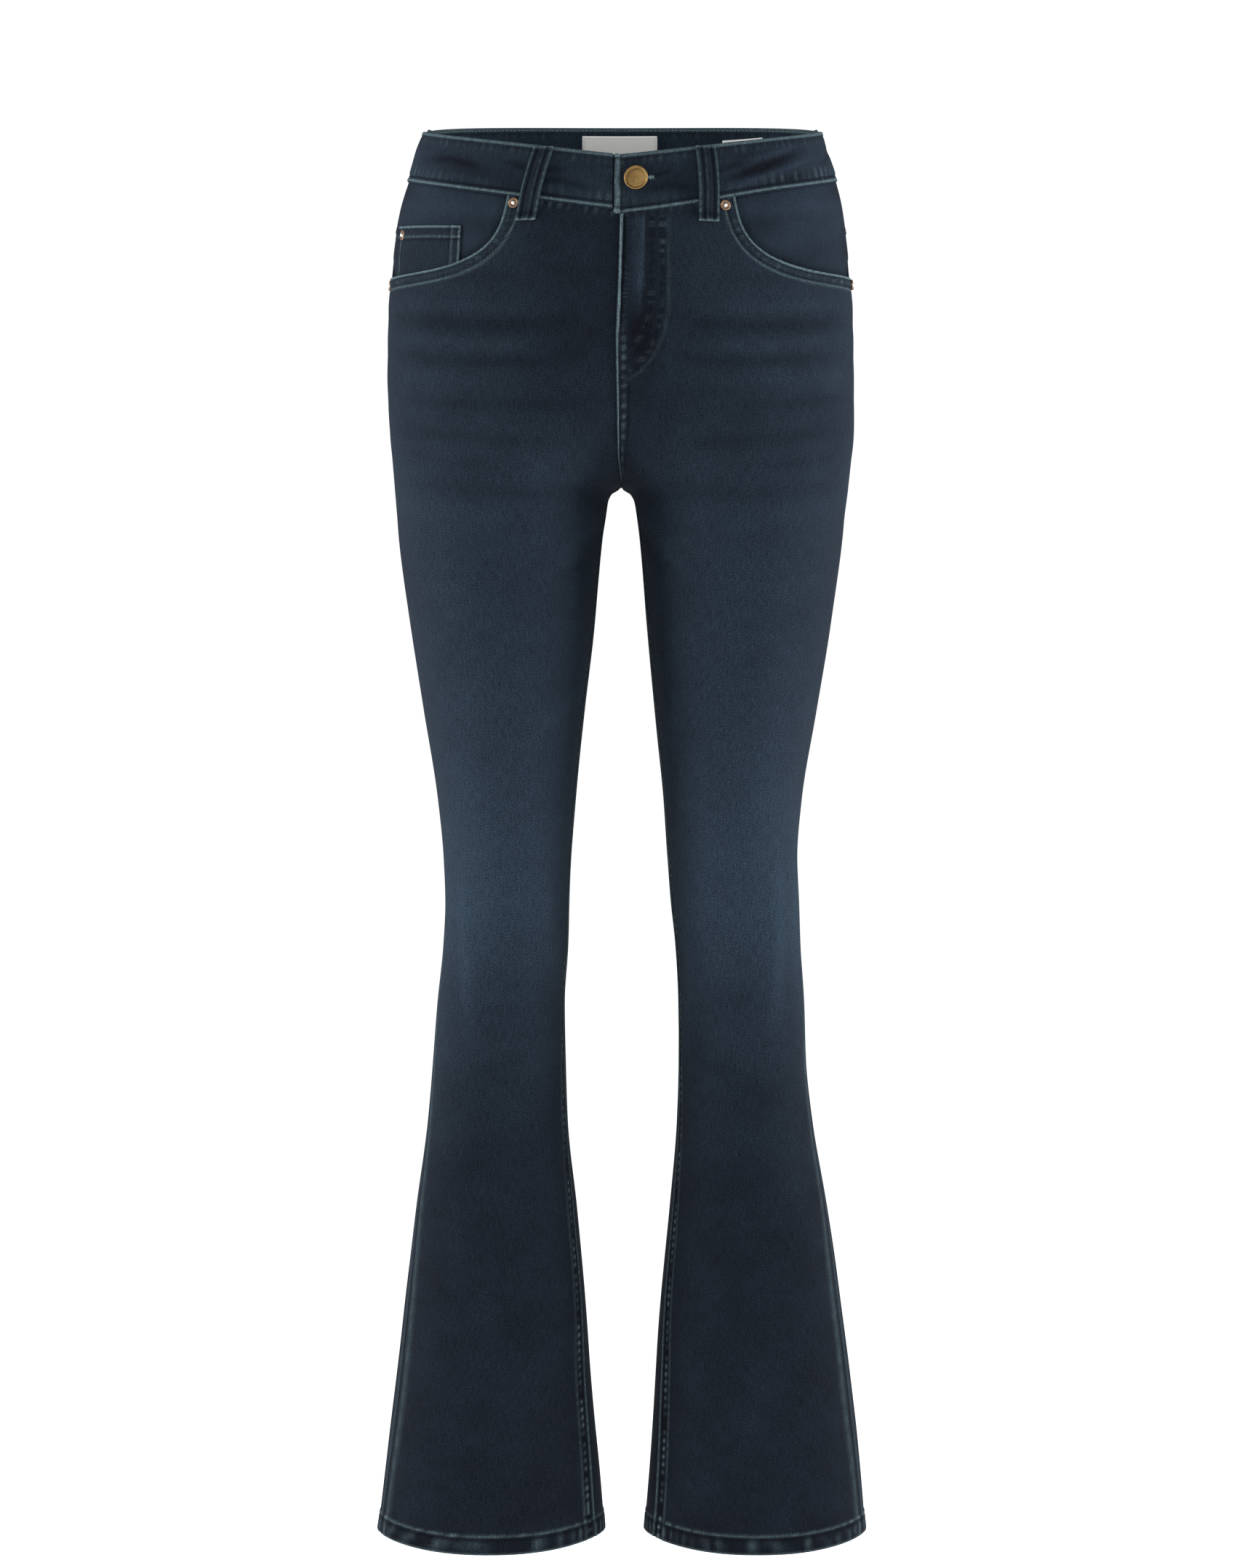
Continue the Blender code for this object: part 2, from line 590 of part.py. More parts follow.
# ---------------------------------------------------------------- the garment
def build():
    clear_scene()
    denim = (0.026, 0.038, 0.056)
    inside = (0.022, 0.033, 0.048)
    for side in ("left", "right"):
        front_panel(side, material("denim_front_" + side, denim, 0.85))
        back_panel(side, material("denim_back_" + side, denim, 0.85))
        yoke(side, material("denim_yoke_" + side, denim, 0.85))
        hem(side, material("denim_hem_" + side, inside, 0.85))
        pocket_facing(side, material("denim_facing_" + side, inside, 0.85))
        back_pocket(side, material("denim_back_pocket_" + side, denim, 0.85))
    coin_pocket(material("denim_coin_pocket", denim, 0.85))
    waistband(material("denim_waistband", denim, 0.85))
    fly_underlap(material("denim_fly_underlap", inside, 0.85))
    for name, side, front, u_top, u_bottom in (
            ("front_right", "right", True, 0.795, 0.762), ("front_left", "left", True, 0.776, 0.784),
            ("side_right", "right", False, 0.17, 0.17), ("side_left", "left", False, 0.17, 0.17),
            ("back", "left", False, 1.0, 1.0)):
        belt_loop("belt_loop_" + name, material("denim_loop_" + name, denim, 0.85), side, front, u_top, u_bottom)
    button(material("brass_button", (0.26, 0.16, 0.055), 0.38, 1.0))
    for name, side, u, z, lift in (
            ("inner_right", "right", 0.722, -69.0, 0.0), ("inner_left", "left", 0.733, -71.0, 0.0),
            ("outer_right", "right", 0.06, -120.5, 0.0), ("outer_left", "left", 0.06, -120.0, 0.0),
            ("coin", "right", 0.195, -84.5, facing_lift(0.195, -84.5) + 1.4 * MM)):
        rivet("rivet_" + name, material("copper_rivet_" + name, (0.30, 0.17, 0.09), 0.4, 1.0), side, u, z, lift)
    label("label_back", material("label_cloth_back", (0.63, 0.63, 0.62), 0.9), -31.0, 29.0, 13.0, 34.0)
    label("label_side", material("label_cloth_side", (0.63, 0.63, 0.62), 0.9), 82.0, 114.0, 8.0, 26.0)


build()
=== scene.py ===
"""Looks of the bootcut jeans: washed indigo twill in fine shells on the CAD pieces' own form, with the
seams, puckers, stitching, worn edges and metal of the real ones.

Metres, +Z up. Heights and widths in the tables are millimetres, as in the part's source. The front faces -Y,
and left and right are the wearer's.
"""

import math

import bpy
import numpy as np
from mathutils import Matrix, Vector
from mathutils.bvhtree import BVHTree


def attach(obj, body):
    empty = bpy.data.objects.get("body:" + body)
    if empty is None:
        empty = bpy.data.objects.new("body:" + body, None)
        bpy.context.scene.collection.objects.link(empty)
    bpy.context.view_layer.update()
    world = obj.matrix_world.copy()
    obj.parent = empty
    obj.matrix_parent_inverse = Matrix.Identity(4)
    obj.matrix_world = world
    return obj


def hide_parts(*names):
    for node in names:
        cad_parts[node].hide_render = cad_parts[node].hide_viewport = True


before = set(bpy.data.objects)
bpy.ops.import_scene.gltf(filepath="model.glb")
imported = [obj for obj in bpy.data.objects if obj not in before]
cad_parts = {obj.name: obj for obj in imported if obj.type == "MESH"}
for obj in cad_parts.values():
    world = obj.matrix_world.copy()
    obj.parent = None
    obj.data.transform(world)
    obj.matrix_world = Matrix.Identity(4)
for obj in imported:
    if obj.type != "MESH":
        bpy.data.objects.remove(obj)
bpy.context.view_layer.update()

MM = 0.001

# ---------------------------------------------------------------- the garment's form, as the part has it
LEVEL_COLUMNS = ("z", "right_outer", "right_inner", "left_outer", "left_inner",
                 "front", "back", "outseam_turn", "inseam_turn")
LEVELS = (
    (40, 141.0, 0, 143.5, 0, 87, 89, 0, 0),
    (0, 152.5, 0, 155.0, 0, 95, 97, 0, 0),
    (-15, 158.0, 0, 159.5, 0, 98, 100, 0, 0),
    (-36, 164.0, 0, 166.0, 0, 101, 105, 0, 0),
    (-72, 174.0, 0, 174.0, 0, 107, 113, 0, 0),
    (-106, 177.4, 0, 176.8, 0, 111, 119, 0, 0),
    (-140, 180.3, 0, 179.7, 0, 113, 124, 0, 0),
    (-185, 180.8, 0, 180.4, 0, 114, 126, 0, 0),
    (-230, 179.1, 0, 180.6, 0, 111, 121, 0, 0),
    (-264, 176.3, 0, 177.4, 0, 107, 112, 0, 0),
    (-274.5, 175.6, 0, 176.4, 0, 105.5, 109.5, 0, 0),
    (-279, 175.2, 6.5, 175.9, 6.5, 105, 108, 0, 2),
    (-286, 174.5, 10.0, 174.9, 10.3, 104, 106.5, 0, 4),
    (-297, 173.6, 11.5, 173.4, 12.0, 103, 104.5, 0, 6),
    (-315, 172.3, 14.1, 171.8, 14.1, 101, 101, 0, 8),
    (-382, 163.3, 19.8, 162.7, 19.8, 96, 93, 0, 12),
    (-450, 152.6, 28.3, 151.4, 26.0, 89, 85, 0, 13),
    (-518, 141.8, 35.0, 140.1, 33.3, 81, 76, 0, 13),
    (-563, 137.3, 38.4, 136.7, 36.2, 75, 69, 1, 12),
    (-597, 136.2, 40.1, 137.9, 38.4, 70, 65, 2, 12),
    (-631, 137.9, 41.2, 139.0, 41.8, 67, 63, 4, 12),
    (-676, 142.4, 44.1, 141.8, 44.1, 65, 65, 7, 12),
    (-721, 145.8, 42.9, 143.5, 44.6, 64, 66, 10, 13),
    (-767, 149.7, 41.2, 148.6, 43.5, 63, 67, 13, 15),
    (-834, 158.8, 34.5, 159.9, 37.9, 63, 66, 17, 18),
    (-902, 167.2, 27.7, 170.1, 31.1, 63, 65, 21, 20),
    (-970, 175.2, 22.6, 179.1, 26.0, 62, 64, 22, 24),
    (-1038, 183.1, 16.4, 185.9, 22.0, 61, 63, 19, 26),
    (-1110, 191.0, 11.0, 191.5, 16.5, 61, 62, 15, 27),
)
SQUARENESS = 2.25
CROTCH_Z = -274.5
FRONT_FORK_Z, FRONT_FORK_POWER = -170.0, 1.5
BACK_FORK_Z, BACK_FORK_POWER = -110.0, 2.0
FRONT_GUIDE_TOP_Z, BACK_GUIDE_TOP_Z, COLUMN_GUIDE_LOW_Z, COLUMN_BEND = -160.0, -130.0, -328.0, 5
FRONT_TOP = (0.0, -33.5)
BACK_TOP = (0.0, 18.8)
FRONT_SEAM = (-36.0, -37.0)
BACK_SEAM = (-36.0, 17.0)
YOKE_SEAM = (-78.0, -20.0)
EDGE_POWER = {"top": 1.05, "seam": 1.15, "yoke": 1.0}
BACK_POWER = {"top": 2.2, "seam": 1.9}
HEM_SIDE_Z, HEM_FRONT_DROP, HEM_BACK_DROP = -1083.0, 10.0, 7.0
MOUTH = ((0.702, -60.0), (0.695, -78.0), (0.676, -91.5), (0.632, -103.5), (0.565, -111.0), (0.48, -115.0),
         (0.39, -116.5), (0.29, -116.8), (0.19, -116.3), (0.09, -115.5), (0.0, -114.5))

# ---------------------------------------------------------------- sizes of the cloth and the sewing, in mm
CLOTH = 1.2
BAND_THICK = 2.4
BAND_LIFT = 0.8
LOOP_THICK, LOOP_WIDTH = 1.8, 14.6
TUCK = 2.3
HEM_DEPTH = 13.0
OVERLAP_END = 3.4
FELL_HALF_WIDTH = 4.6       # a felled seam's raised band, each side of its seam line
STITCH_PITCH, STITCH_LENGTH, THREAD = 3.2, 2.5, 0.55
ROW_STEP = 3.0              # between a panel's rows of points


# ---------------------------------------------------------------- small mathematics
def unit(value):
    return np.clip(value, 0.0, 1.0)


def smooth(value):
    value = unit(value)
    return value * value * (3 - 2 * value)


def mix(a, b, share):
    return a + (b - a) * share


def bump(distance, width):
    return np.exp(-(distance / width) ** 2)


def ripple(along, pitch, seed):
    """An uneven wave along a seam, -1 to 1: two waves near one pitch and a slow swell."""
    turn = 2 * np.pi * along / pitch
    wave = (0.6 * np.sin(turn + seed)
            + 0.4 * np.sin(turn * 0.73 + 2.1 * seed + 1.3 * np.sin(turn * 0.11 + seed)))
    return wave * (0.75 + 0.25 * np.sin(turn * 0.17 + 3.7 * seed))


def level_table(name):
    """A column of LEVELS at close heights, by a monotone cubic through its rows."""
    index = LEVEL_COLUMNS.index(name)
    heights = np.array([row[0] for row in LEVELS[::-1]], float)
    values = np.array([row[index] for row in LEVELS[::-1]], float)
    rates = np.diff(values) / np.diff(heights)
    before, after = np.append(rates[0], rates), np.append(rates, rates[-1])
    total = np.where(before + after == 0, 1, before + after)
    slopes = np.where(before * after <= 0, 0, 2 * before * after / total)
    z = np.arange(heights[0], heights[-1] + 0.25, 0.5)
    k = np.clip(np.searchsorted(heights, z, side="right") - 1, 0, len(rates) - 1)
    step = heights[k + 1] - heights[k]
    t = (z - heights[k]) / step
    return z, ((2 * t ** 3 - 3 * t ** 2 + 1) * values[k] + (t ** 3 - 2 * t ** 2 + t) * step * slopes[k]
               + (3 * t ** 2 - 2 * t ** 3) * values[k + 1] + (t ** 3 - t ** 2) * step * slopes[k + 1])


LEVEL_TABLES = {name: level_table(name) for name in LEVEL_COLUMNS[1:]}


def level(name, z):
    return np.interp(z, *LEVEL_TABLES[name])


# ---------------------------------------------------------------- the surface
def fork(z, front):
    start, power = (FRONT_FORK_Z, FRONT_FORK_POWER) if front else (BACK_FORK_Z, BACK_FORK_POWER)
    return unit((z - start) / (CROTCH_Z - start)) ** power


def rounded(value):
    return np.sign(value) * np.abs(value) ** (2 / SQUARENESS)


def leg_centre(side, z, front):
    outer = level(side + "_outer", z)
    parted = fork(z, front)
    above = outer * parted / (1 + parted)
    return np.where(z > CROTCH_Z, above, (outer + level(side + "_inner", z)) / 2)


def surface(side, angle, z):
    """Points of the cloth's outer face. The angle runs from the outer side, positive over the front."""
    angle, z = np.broadcast_arrays(np.asarray(angle, float), np.asarray(z, float))
    front = np.sin(angle) >= 0
    centre = np.where(front, leg_centre(side, z, True), leg_centre(side, z, False))
    x = centre + (level(side + "_outer", z) - centre) * rounded(np.cos(angle))
    y = -np.where(front, level("front", z), level("back", z)) * rounded(np.sin(angle))
    return np.stack([x if side == "left" else -x, y, z], axis=-1) * MM


def normal(side, angle, z):
    step = 0.004
    across = surface(side, angle + step, z) - surface(side, angle - step, z)
    down = surface(side, angle, z - 1) - surface(side, angle, z + 1)
    out = np.cross(across, down)
    out = out / np.linalg.norm(out, axis=-1, keepdims=True)
    return out if side == "left" else -out


def form(side, angle, z):
    """The place on the form and the way out of it."""
    return surface(side, angle, z), normal(side, angle, z)


def column_angle(u, z, end, guide_top):
    opened = smooth((guide_top - z) / (guide_top - COLUMN_GUIDE_LOW_Z))
    ratio = np.pi / 2 * (1 + opened) / end
    return end * (u * ratio - (ratio - 1) * u ** COLUMN_BEND)


def front_angle(u, z):
    u, z = np.broadcast_arrays(np.asarray(u, float), np.asarray(z, float))
    end = np.where(z > CROTCH_Z, np.arccos(-fork(z, True) ** (SQUARENESS / 2)),
                   np.pi - np.radians(level("inseam_turn", z)))
    turn = np.radians(level("outseam_turn", z))
    return turn + (1 - turn / end) * column_angle(u, z, end, FRONT_GUIDE_TOP_Z)


def back_angle(u, z):
    u, z = np.broadcast_arrays(np.asarray(u, float), np.asarray(z, float))
    end = np.where(z > CROTCH_Z, np.arccos(-fork(z, False) ** (SQUARENESS / 2)),
                   np.pi + np.radians(level("inseam_turn", z)))
    turn = np.radians(level("outseam_turn", z))
    return turn - (1 + turn / end) * column_angle(u, z, end, BACK_GUIDE_TOP_Z)


def angle_at(side, x, z, front):
    """The angle of the surface's point at a distance x from the centre line, in mm."""
    centre = leg_centre(side, z, front)
    share = np.clip((x - centre) / (level(side + "_outer", z) - centre), -1, 1)
    angle = np.arccos(np.sign(share) * np.abs(share) ** (SQUARENESS / 2))
    return angle if front else -angle


def edge(line, u, kind):
    if line[1] > 0:
        return line[0] + line[1] * (1 - (1 - unit(u)) ** BACK_POWER[kind])
    return line[0] + line[1] * np.clip(u, 0, None) ** EDGE_POWER[kind]


def hem_z(angle):
    drop = np.where(np.sin(angle) > 0, HEM_FRONT_DROP, HEM_BACK_DROP)
    return HEM_SIDE_Z - drop * np.sin(angle) ** 2


def arc_table(side, front):
    """How far round the leg each angle lies from its outer side, in mm, at close heights."""
    heights = np.arange(-1100.0, 46.0, 10.0)
    turns = np.linspace(0, np.radians(225), 181)
    ring = surface(side, (turns if front else -turns)[None], heights[:, None])
    steps = np.linalg.norm(np.diff(ring, axis=1), axis=-1) / MM
    return np.concatenate([np.zeros((len(heights), 1)), np.cumsum(steps, axis=1)], axis=1)


def weave_map(side, angle, z, front):
    """The cloth's own map, in metres: across the grain from the panel's middle, and down it."""
    arcs = arc_table(side, front)
    row = np.clip((z + 1100.0) / 10.0, 0, arcs.shape[0] - 1.001)
    column = np.clip(np.abs(angle) / np.radians(225) * 180, 0, arcs.shape[1] - 1.001)
    i, j = row.astype(int), column.astype(int)
    a, b = row - i, column - j
    arc = (mix(arcs[i, j], arcs[i, j + 1], b) * (1 - a) + mix(arcs[i + 1, j], arcs[i + 1, j + 1], b) * a)
    arc = np.where((angle > 0) == front, arc, -arc)
    return np.stack([arc - arc[:, arc.shape[1] // 2:arc.shape[1] // 2 + 1].mean(), -z], axis=-1) * MM


# ---------------------------------------------------------------- where the trim sits
# Belt loops: name, side, whether in front, and the shares across the panel at the top and at the bottom.
LOOPS = (("front_right", "right", True, 0.795, 0.762), ("front_left", "left", True, 0.776, 0.784),
         ("side_right", "right", False, 0.17, 0.17), ("side_left", "left", False, 0.17, 0.17),
         ("back", "left", False, 1.0, 1.0))
# Rivets: name, side, share across the front, height, and the piece each is set on.
RIVETS = (("inner_right", "right", 0.722, -69.0, "front_right"),
          ("inner_left", "left", 0.733, -71.0, "front_left"),
          ("outer_right", "right", 0.06, -120.5, "front_right"),
          ("outer_left", "left", 0.06, -120.0, "front_left"),
          ("coin", "right", 0.195, -84.5, "coin_pocket"))
RIVET_SIDES = 28
# Labels: name, from and to across, top and height.
LABELS = (("label_back", -31.0, 29.0, 13.0, 34.0), ("label_side", 82.0, 114.0, 8.0, 26.0))
LABEL_THICK = 0.8
BUTTON_U, BUTTON_Z = 0.968, -51.5
BUTTON_SCALE = 1.06         # against the CAD's button
BUTTON_LEVEL, BUTTON_TURN = 0.3, 0.2    # it hangs more upright than the cloth, and a little turned
FRONT_WIDTH = 190.0         # for the spacing of a front's columns
MOUTH_COUNT, MOUTH_CENTRE_Z = 84, -137.0    # the rows that start at the mouth; the last's end by the fly
CORD_COLUMNS = (0.35, 0.7, 1.05, 1.75, 2.1, 2.45, 3.15,
                3.5)   # more of them, from the left front's worn edge
# Stitch rows, in mm from the edge they follow; the coin pocket's and the waistband's name that edge.
FELL_ROW, INSEAM_ROW, HEM_ROW = 3.0, 2.9, HEM_DEPTH - 0.8
MOUTH_ROWS, POCKET_ROWS, POCKET_MOUTH_ROW = (2.2, 7.6), (1.8, 8.2), 13.0
COIN_ROWS = (("down", 10.3), ("down", 2.3), ("right", 2.2), ("right", 9.0), ("across", 8.0))
BAND_ROWS = (("down", 2.4), ("low", 4.0), ("right", 4.8))
LOOP_COLUMNS = (6, 16)      # a belt loop's two rows follow these columns of its points
HOLE_X, HOLE_Z, HOLE_POINTS = (18.8, 24.6), -50.9, 17     # the buttonhole's bar of threads

# ---------------------------------------------------------------- creases and wear read from the photograph
# Soft troughs (-) and ridges (+) across the front: points (x, z), width and height, all in mm.
FRONT_CREASES = (
    # the whiskers at the hips, from the side seams towards the fly
    (((-180, -108), (-150, -117), (-105, -124), (-70, -122)), 6.0, -0.7),
    (((180, -110), (150, -118), (105, -125), (70, -124)), 6.0, -0.7),
    (((-180, -146), (-130, -157), (-85, -161), (-40, -158)), 6.5, -1.3),
    (((180, -150), (140, -157), (95, -161), (42, -158)), 6.5, -1.4),
    (((-180, -134), (-135, -143), (-90, -147), (-55, -146)), 5.0, 0.5),
    (((180, -134), (135, -143), (90, -147), (55, -145)), 5.0, 0.7),
    (((-180, -160), (-135, -171), (-90, -175), (-50, -176)), 5.0, 0.9),
    (((180, -161), (135, -171), (90, -175), (55, -177)), 5.0, 0.9),
    (((-180, -174), (-130, -185), (-80, -189), (-30, -186)), 5.0, -1.0),
    (((180, -176), (130, -185), (80, -188), (45, -186)), 5.0, -1.1),
    (((-180, -192), (-130, -201), (-85, -203)), 6.0, 0.6),
    (((180, -190), (130, -200), (80, -204)), 6.0, 0.6),
    (((-179, -207), (-130, -218), (-75, -222), (-25, -220)), 5.0, -0.8),
    (((179, -208), (140, -217), (90, -221)), 5.0, -0.8),
    (((-178, -233), (-130, -243), (-80, -248), (-30, -250)), 5.5, -0.8),
    (((178, -234), (130, -244), (85, -248), (35, -252)), 5.5, -0.9),
    (((-177, -252), (-130, -262), (-80, -266)), 5.0, -0.6),
    (((177, -254), (135, -264), (85, -267)), 5.0, -0.6),
    (((-176, -273), (-130, -282), (-80, -286), (-35, -283)), 6.0, -0.9),
    (((176, -275), (135, -284), (90, -287), (38, -280)), 6.0, -0.9),
    (((-174, -292), (-130, -302), (-85, -306)), 7.0, 0.5),
    (((174, -292), (130, -302), (85, -306)), 7.0, 0.5),
    # pull lines from the crotch down the inner thighs
    (((-14, -292), (-30, -318), (-52, -345)), 4.5, 0.8),
    (((-10, -300), (-24, -330), (-40, -352)), 4.0, -0.7),
    (((-26, -425), (-44, -448), (-66, -470)), 4.5, 0.6),
    (((16, -292), (34, -326), (55, -350)), 4.5, 0.8),
    (((11, -302), (26, -334), (42, -356)), 4.0, -0.7),
    # the flat front of the knees against their sides
    (((-121, -560), (-120, -600), (-117, -650), (-113, -700)), 5.5, 1.2),
    (((118, -550), (118, -590), (119, -625), (116, -690)), 5.5, 1.5),
    (((-59, -565), (-57, -610), (-52, -660)), 4.5, 0.8),
    (((48, -595), (52, -640), (50, -700), (45, -735)), 4.5, 0.8),
    (((-104, -640), (-90, -655), (-70, -662)), 7.0, -0.7),
    (((104, -655), (90, -668), (66, -672)), 7.0, -0.7),
    (((-70, -700), (-92, -722), (-120, -738)), 9.0, -0.6),
    (((66, -712), (92, -730), (124, -752)), 9.0, -0.6),
)
BACK_CREASES = (
    (((-160, -252), (-105, -270), (-45, -279)), 7.0, -1.5),
    (((160, -254), (105, -272), (45, -280)), 7.0, -1.5),
    (((-155, -268), (-105, -286), (-55, -292)), 6.0, 0.8),
    (((155, -270), (105, -287), (55, -293)), 6.0, 0.8),
    (((-150, -288), (-100, -304), (-60, -309)), 6.0, -1.0),
    (((150, -291), (100, -306), (60, -311)), 6.0, -1.0),
    (((-135, -556), (-92, -570), (-44, -562)), 6.0, -1.5),
    (((135, -560), (92, -575), (44, -566)), 6.0, -1.5),
    (((-130, -572), (-92, -584), (-50, -577)), 5.0, 0.9),
    (((130, -577), (92, -589), (50, -581)), 5.0, 0.9),
    (((-130, -588), (-90, -599), (-50, -593)), 6.0, -1.2),
    (((130, -594), (90, -605), (50, -597)), 6.0, -1.2),
    (((-130, -616), (-92, -624), (-52, -618)), 6.0, -0.9),
    (((130, -620), (94, -630), (54, -624)), 6.0, -0.9),
    (((-128, -642), (-98, -648)), 6.0, -0.6),
    (((128, -648), (98, -654)), 6.0, -0.6),
)
# The wash, from dark 0 to light 1, by height.
FRONT_WASH = ((0, 0.38), (-60, 0.34), (-110, 0.31), (-150, 0.29), (-230, 0.34), (-290, 0.42), (-330, 0.45),
              (-400, 0.47), (-470, 0.55), (-540, 0.68), (-600, 0.74), (-640, 0.60), (-690, 0.42),
              (-740, 0.29),
              (-800, 0.21), (-900, 0.18), (-1000, 0.17), (-1060, 0.14), (-1100, 0.12))
BACK_WASH = ((30, 0.34), (-60, 0.34), (-110, 0.46), (-180, 0.62), (-240, 0.56), (-275, 0.34), (-330, 0.42),
             (-450, 0.40), (-560, 0.32), (-600, 0.40), (-680, 0.32), (-800, 0.22), (-1000, 0.18),
             (-1100, 0.14))
WHISKER_DYE = 0.12          # how much a crease's height changes the wash
LINING_FADE = 0.36          # the waistband's inner face is lighter


def table(rows, z):
    heights, values = zip(*rows[::-1])
    return np.interp(z, heights, values)


def path_distance(x, z, path):
    """The distance from (x, z) to a path of straight runs, and how far along it the nearest point lies."""
    best = np.full(np.shape(x), 1e9)
    where = np.zeros(np.shape(x))
    lengths = [math.dist(a, b) for a, b in zip(path, path[1:])]
    done = 0.0
    for (x0, z0), (x1, z1), length in zip(path, path[1:], lengths):
        along = unit(((x - x0) * (x1 - x0) + (z - z0) * (z1 - z0)) / length ** 2)
        away = np.hypot(x - mix(x0, x1, along), z - mix(z0, z1, along))
        nearer = away < best
        best = np.where(nearer, away, best)
        where = np.where(nearer, (done + along * length) / sum(lengths), where)
        done += length
    return best, where


def creases(points):
    """The height of the listed creases, in mm, at points in metres."""
    x, y, z = points[..., 0] / MM, points[..., 1] / MM, points[..., 2] / MM
    total = np.zeros(x.shape)
    for group, sign in ((FRONT_CREASES, -1), (BACK_CREASES, 1)):
        facing = smooth((sign * y + 4) / 18)
        for path, width, height in group:
            away, along = path_distance(x, z, path)
            ends = smooth(along / 0.3) * smooth((1 - along) / 0.3)
            total += height * bump(away, width) * (0.25 + 0.75 * ends) * facing
    return total


def line_distance(points, line):
    """How far points are from a line of close points, and how far along the line, both in mm."""
    steps = np.concatenate([[0], np.cumsum(np.linalg.norm(np.diff(line, axis=0), axis=-1))])
    walk = np.linspace(0, steps[-1], 1 + int(steps[-1] / MM / 0.7))
    close = np.stack([np.interp(walk, steps, line[:, k]) for k in range(3)], axis=-1)
    flat = points.reshape(-1, 3)
    nearest, away = np.empty(len(flat), int), np.empty(len(flat))
    for start in range(0, len(flat), 4000):
        block = np.linalg.norm(flat[start:start + 4000, None] - close, axis=-1)
        nearest[start:start + 4000] = block.argmin(axis=1)
        away[start:start + 4000] = block.min(axis=1)
    shape = points.shape[:-1]
    return away.reshape(shape) / MM, walk[nearest].reshape(shape) / MM


def sway(points):
    """The cloth's own slow unevenness, in mm."""
    x, y, z = points[..., 0] / MM, points[..., 1] / MM, points[..., 2] / MM
    slow = np.sin(x / 31 + 1.1 + 0.9 * np.sin(z / 83)) * np.sin(z / 47 + y / 39)
    middle = np.sin(x / 13 + y / 17 + 0.7 * np.sin(z / 29)) * np.sin(z / 21 + 0.5 + x / 37)
    return 0.45 * slow + 0.16 * middle


def free_sway(points, across, from_right):
    """The sway, held still beside a panel's two long seams."""
    return sway(points) * smooth(across / 12) * smooth(from_right / 12)


def wash(front, u, z, lines):
    """The dye left on a main panel: lightest down the middle of the thigh and knee; darkest by the fly and
    the crotch, where the darkening is partly painted shade.
    """
    base = table(FRONT_WASH if front else BACK_WASH, z)
    below = smooth((-270 - z) / 60)
    middle = bump(u - 0.48, 0.36)
    seat = bump(u - 0.5, 0.34)
    # above the crotch the front darkens towards the fly and crotch: partly the dye, partly painted shade
    above = (mix(1.08, 0.62, smooth((u - 0.62) / 0.34)) if front else 0.70 + 0.38 * seat)
    thigh = 0.12 * bump(u - 0.97, 0.16) * bump(z + 480, 150) if front else 0.0
    return base * mix(above, 0.58 + thigh + 0.50 * middle, below) + WHISKER_DYE * lines


# How far the left front laps over the right one, by height, and the fly's two curved stitch rows.
FLY_REACH = ((-36, 0.5), (-64, 0.6), (-86, 0.8), (-126, 1.9), (-170, 3.9), (-212, 3.4), (-258, 3.2),
             (-271, 0.6))
UNDER_REACH = ((-36, 7.0), (-255, 6.0), (-271, 0.6))
FLY_ROWS = (((31.0, -80.0), (31.0, -125.0), (30.5, -150.0), (27.0, -168.0), (21.0, -182.0), (12.0, -193.0),
             (3.0, -199.5)),
            ((23.0, -80.0), (23.0, -120.0), (22.5, -145.0), (19.5, -160.0), (14.0, -172.0), (7.0, -181.0)))
FLY_EDGE = ((35.5, -80.0), (35.5, -125.0), (35.0, -152.0), (31.5, -171.0), (24.5, -186.0), (14.0, -198.0),
            (3.0, -204.5))
# Creases of the waistband: points (distance from the buttonhole end and down), width and height, in mm.
BAND_CREASES = (
    (((72, 30), (110, 22), (158, 11)), 3.2, -1.3), (((84, 35), (120, 27), (168, 17)), 2.6, 0.9),
    (((96, 16), (128, 11), (150, 8)), 2.6, 0.8), (((104, 37), (132, 33), (160, 30)), 2.2, -0.7),
    (((60, 14), (84, 19), (104, 15)), 3.2, -0.8), (((170, 26), (196, 18), (224, 14)), 3.2, -0.8),
    (((18, 29), (40, 27), (62, 33)), 3.0, -0.6), (((240, 22), (300, 26), (360, 20)), 3.6, -0.7),
    (((400, 14), (450, 20), (500, 16)), 3.6, -0.7), (((540, 25), (600, 18), (650, 24)), 3.6, -0.7),
    (((690, 20), (722, 17), (756, 22)), 3.4, -1.0), (((700, 31), (736, 30), (770, 33)), 3.0, 0.6),
    (((764, 13), (790, 18), (822, 15)), 3.0, -0.9), (((786, 28), (812, 24), (848, 30)), 3.2, -0.8),
    (((836, 12), (858, 15), (884, 11)), 2.8, 0.6),
)


# ---------------------------------------------------------------- meshes
def lengths_along(points, axis):
    """How far each point is from the first one along its row (axis 1) or column (axis 0), in mm."""
    steps = np.linalg.norm(np.diff(points, axis=axis), axis=-1) / MM
    start = np.zeros((1, steps.shape[1])) if axis == 0 else np.zeros((steps.shape[0], 1))
    return np.concatenate([start, np.cumsum(steps, axis=axis)], axis=axis)


def measured(points):
    """How far each point of a grid is from its first column, last column, first row and last row, in mm."""
    across, down = lengths_along(points, 1), lengths_along(points, 0)
    return across, across[:, -1:] - across, down, down[-1:] - down


def border(rows, columns, closed):
    """The grid's border as rings of (row, column, row inside, column inside)."""
    low, right = rows - 1, columns - 1
    if closed:
        return [[(i, j, inside, j) for j in range(columns)] for i, inside in ((0, 1), (low, low - 1))]
    ring = [(0, j, 1, j) for j in range(columns)] + [(i, right, i, right - 1) for i in range(1, rows)]
    ring += ([(low, j, low - 1, j) for j in range(right - 1, -1, -1)]
             + [(i, 0, i, 1) for i in range(low - 1, 0, -1)])
    return [ring]


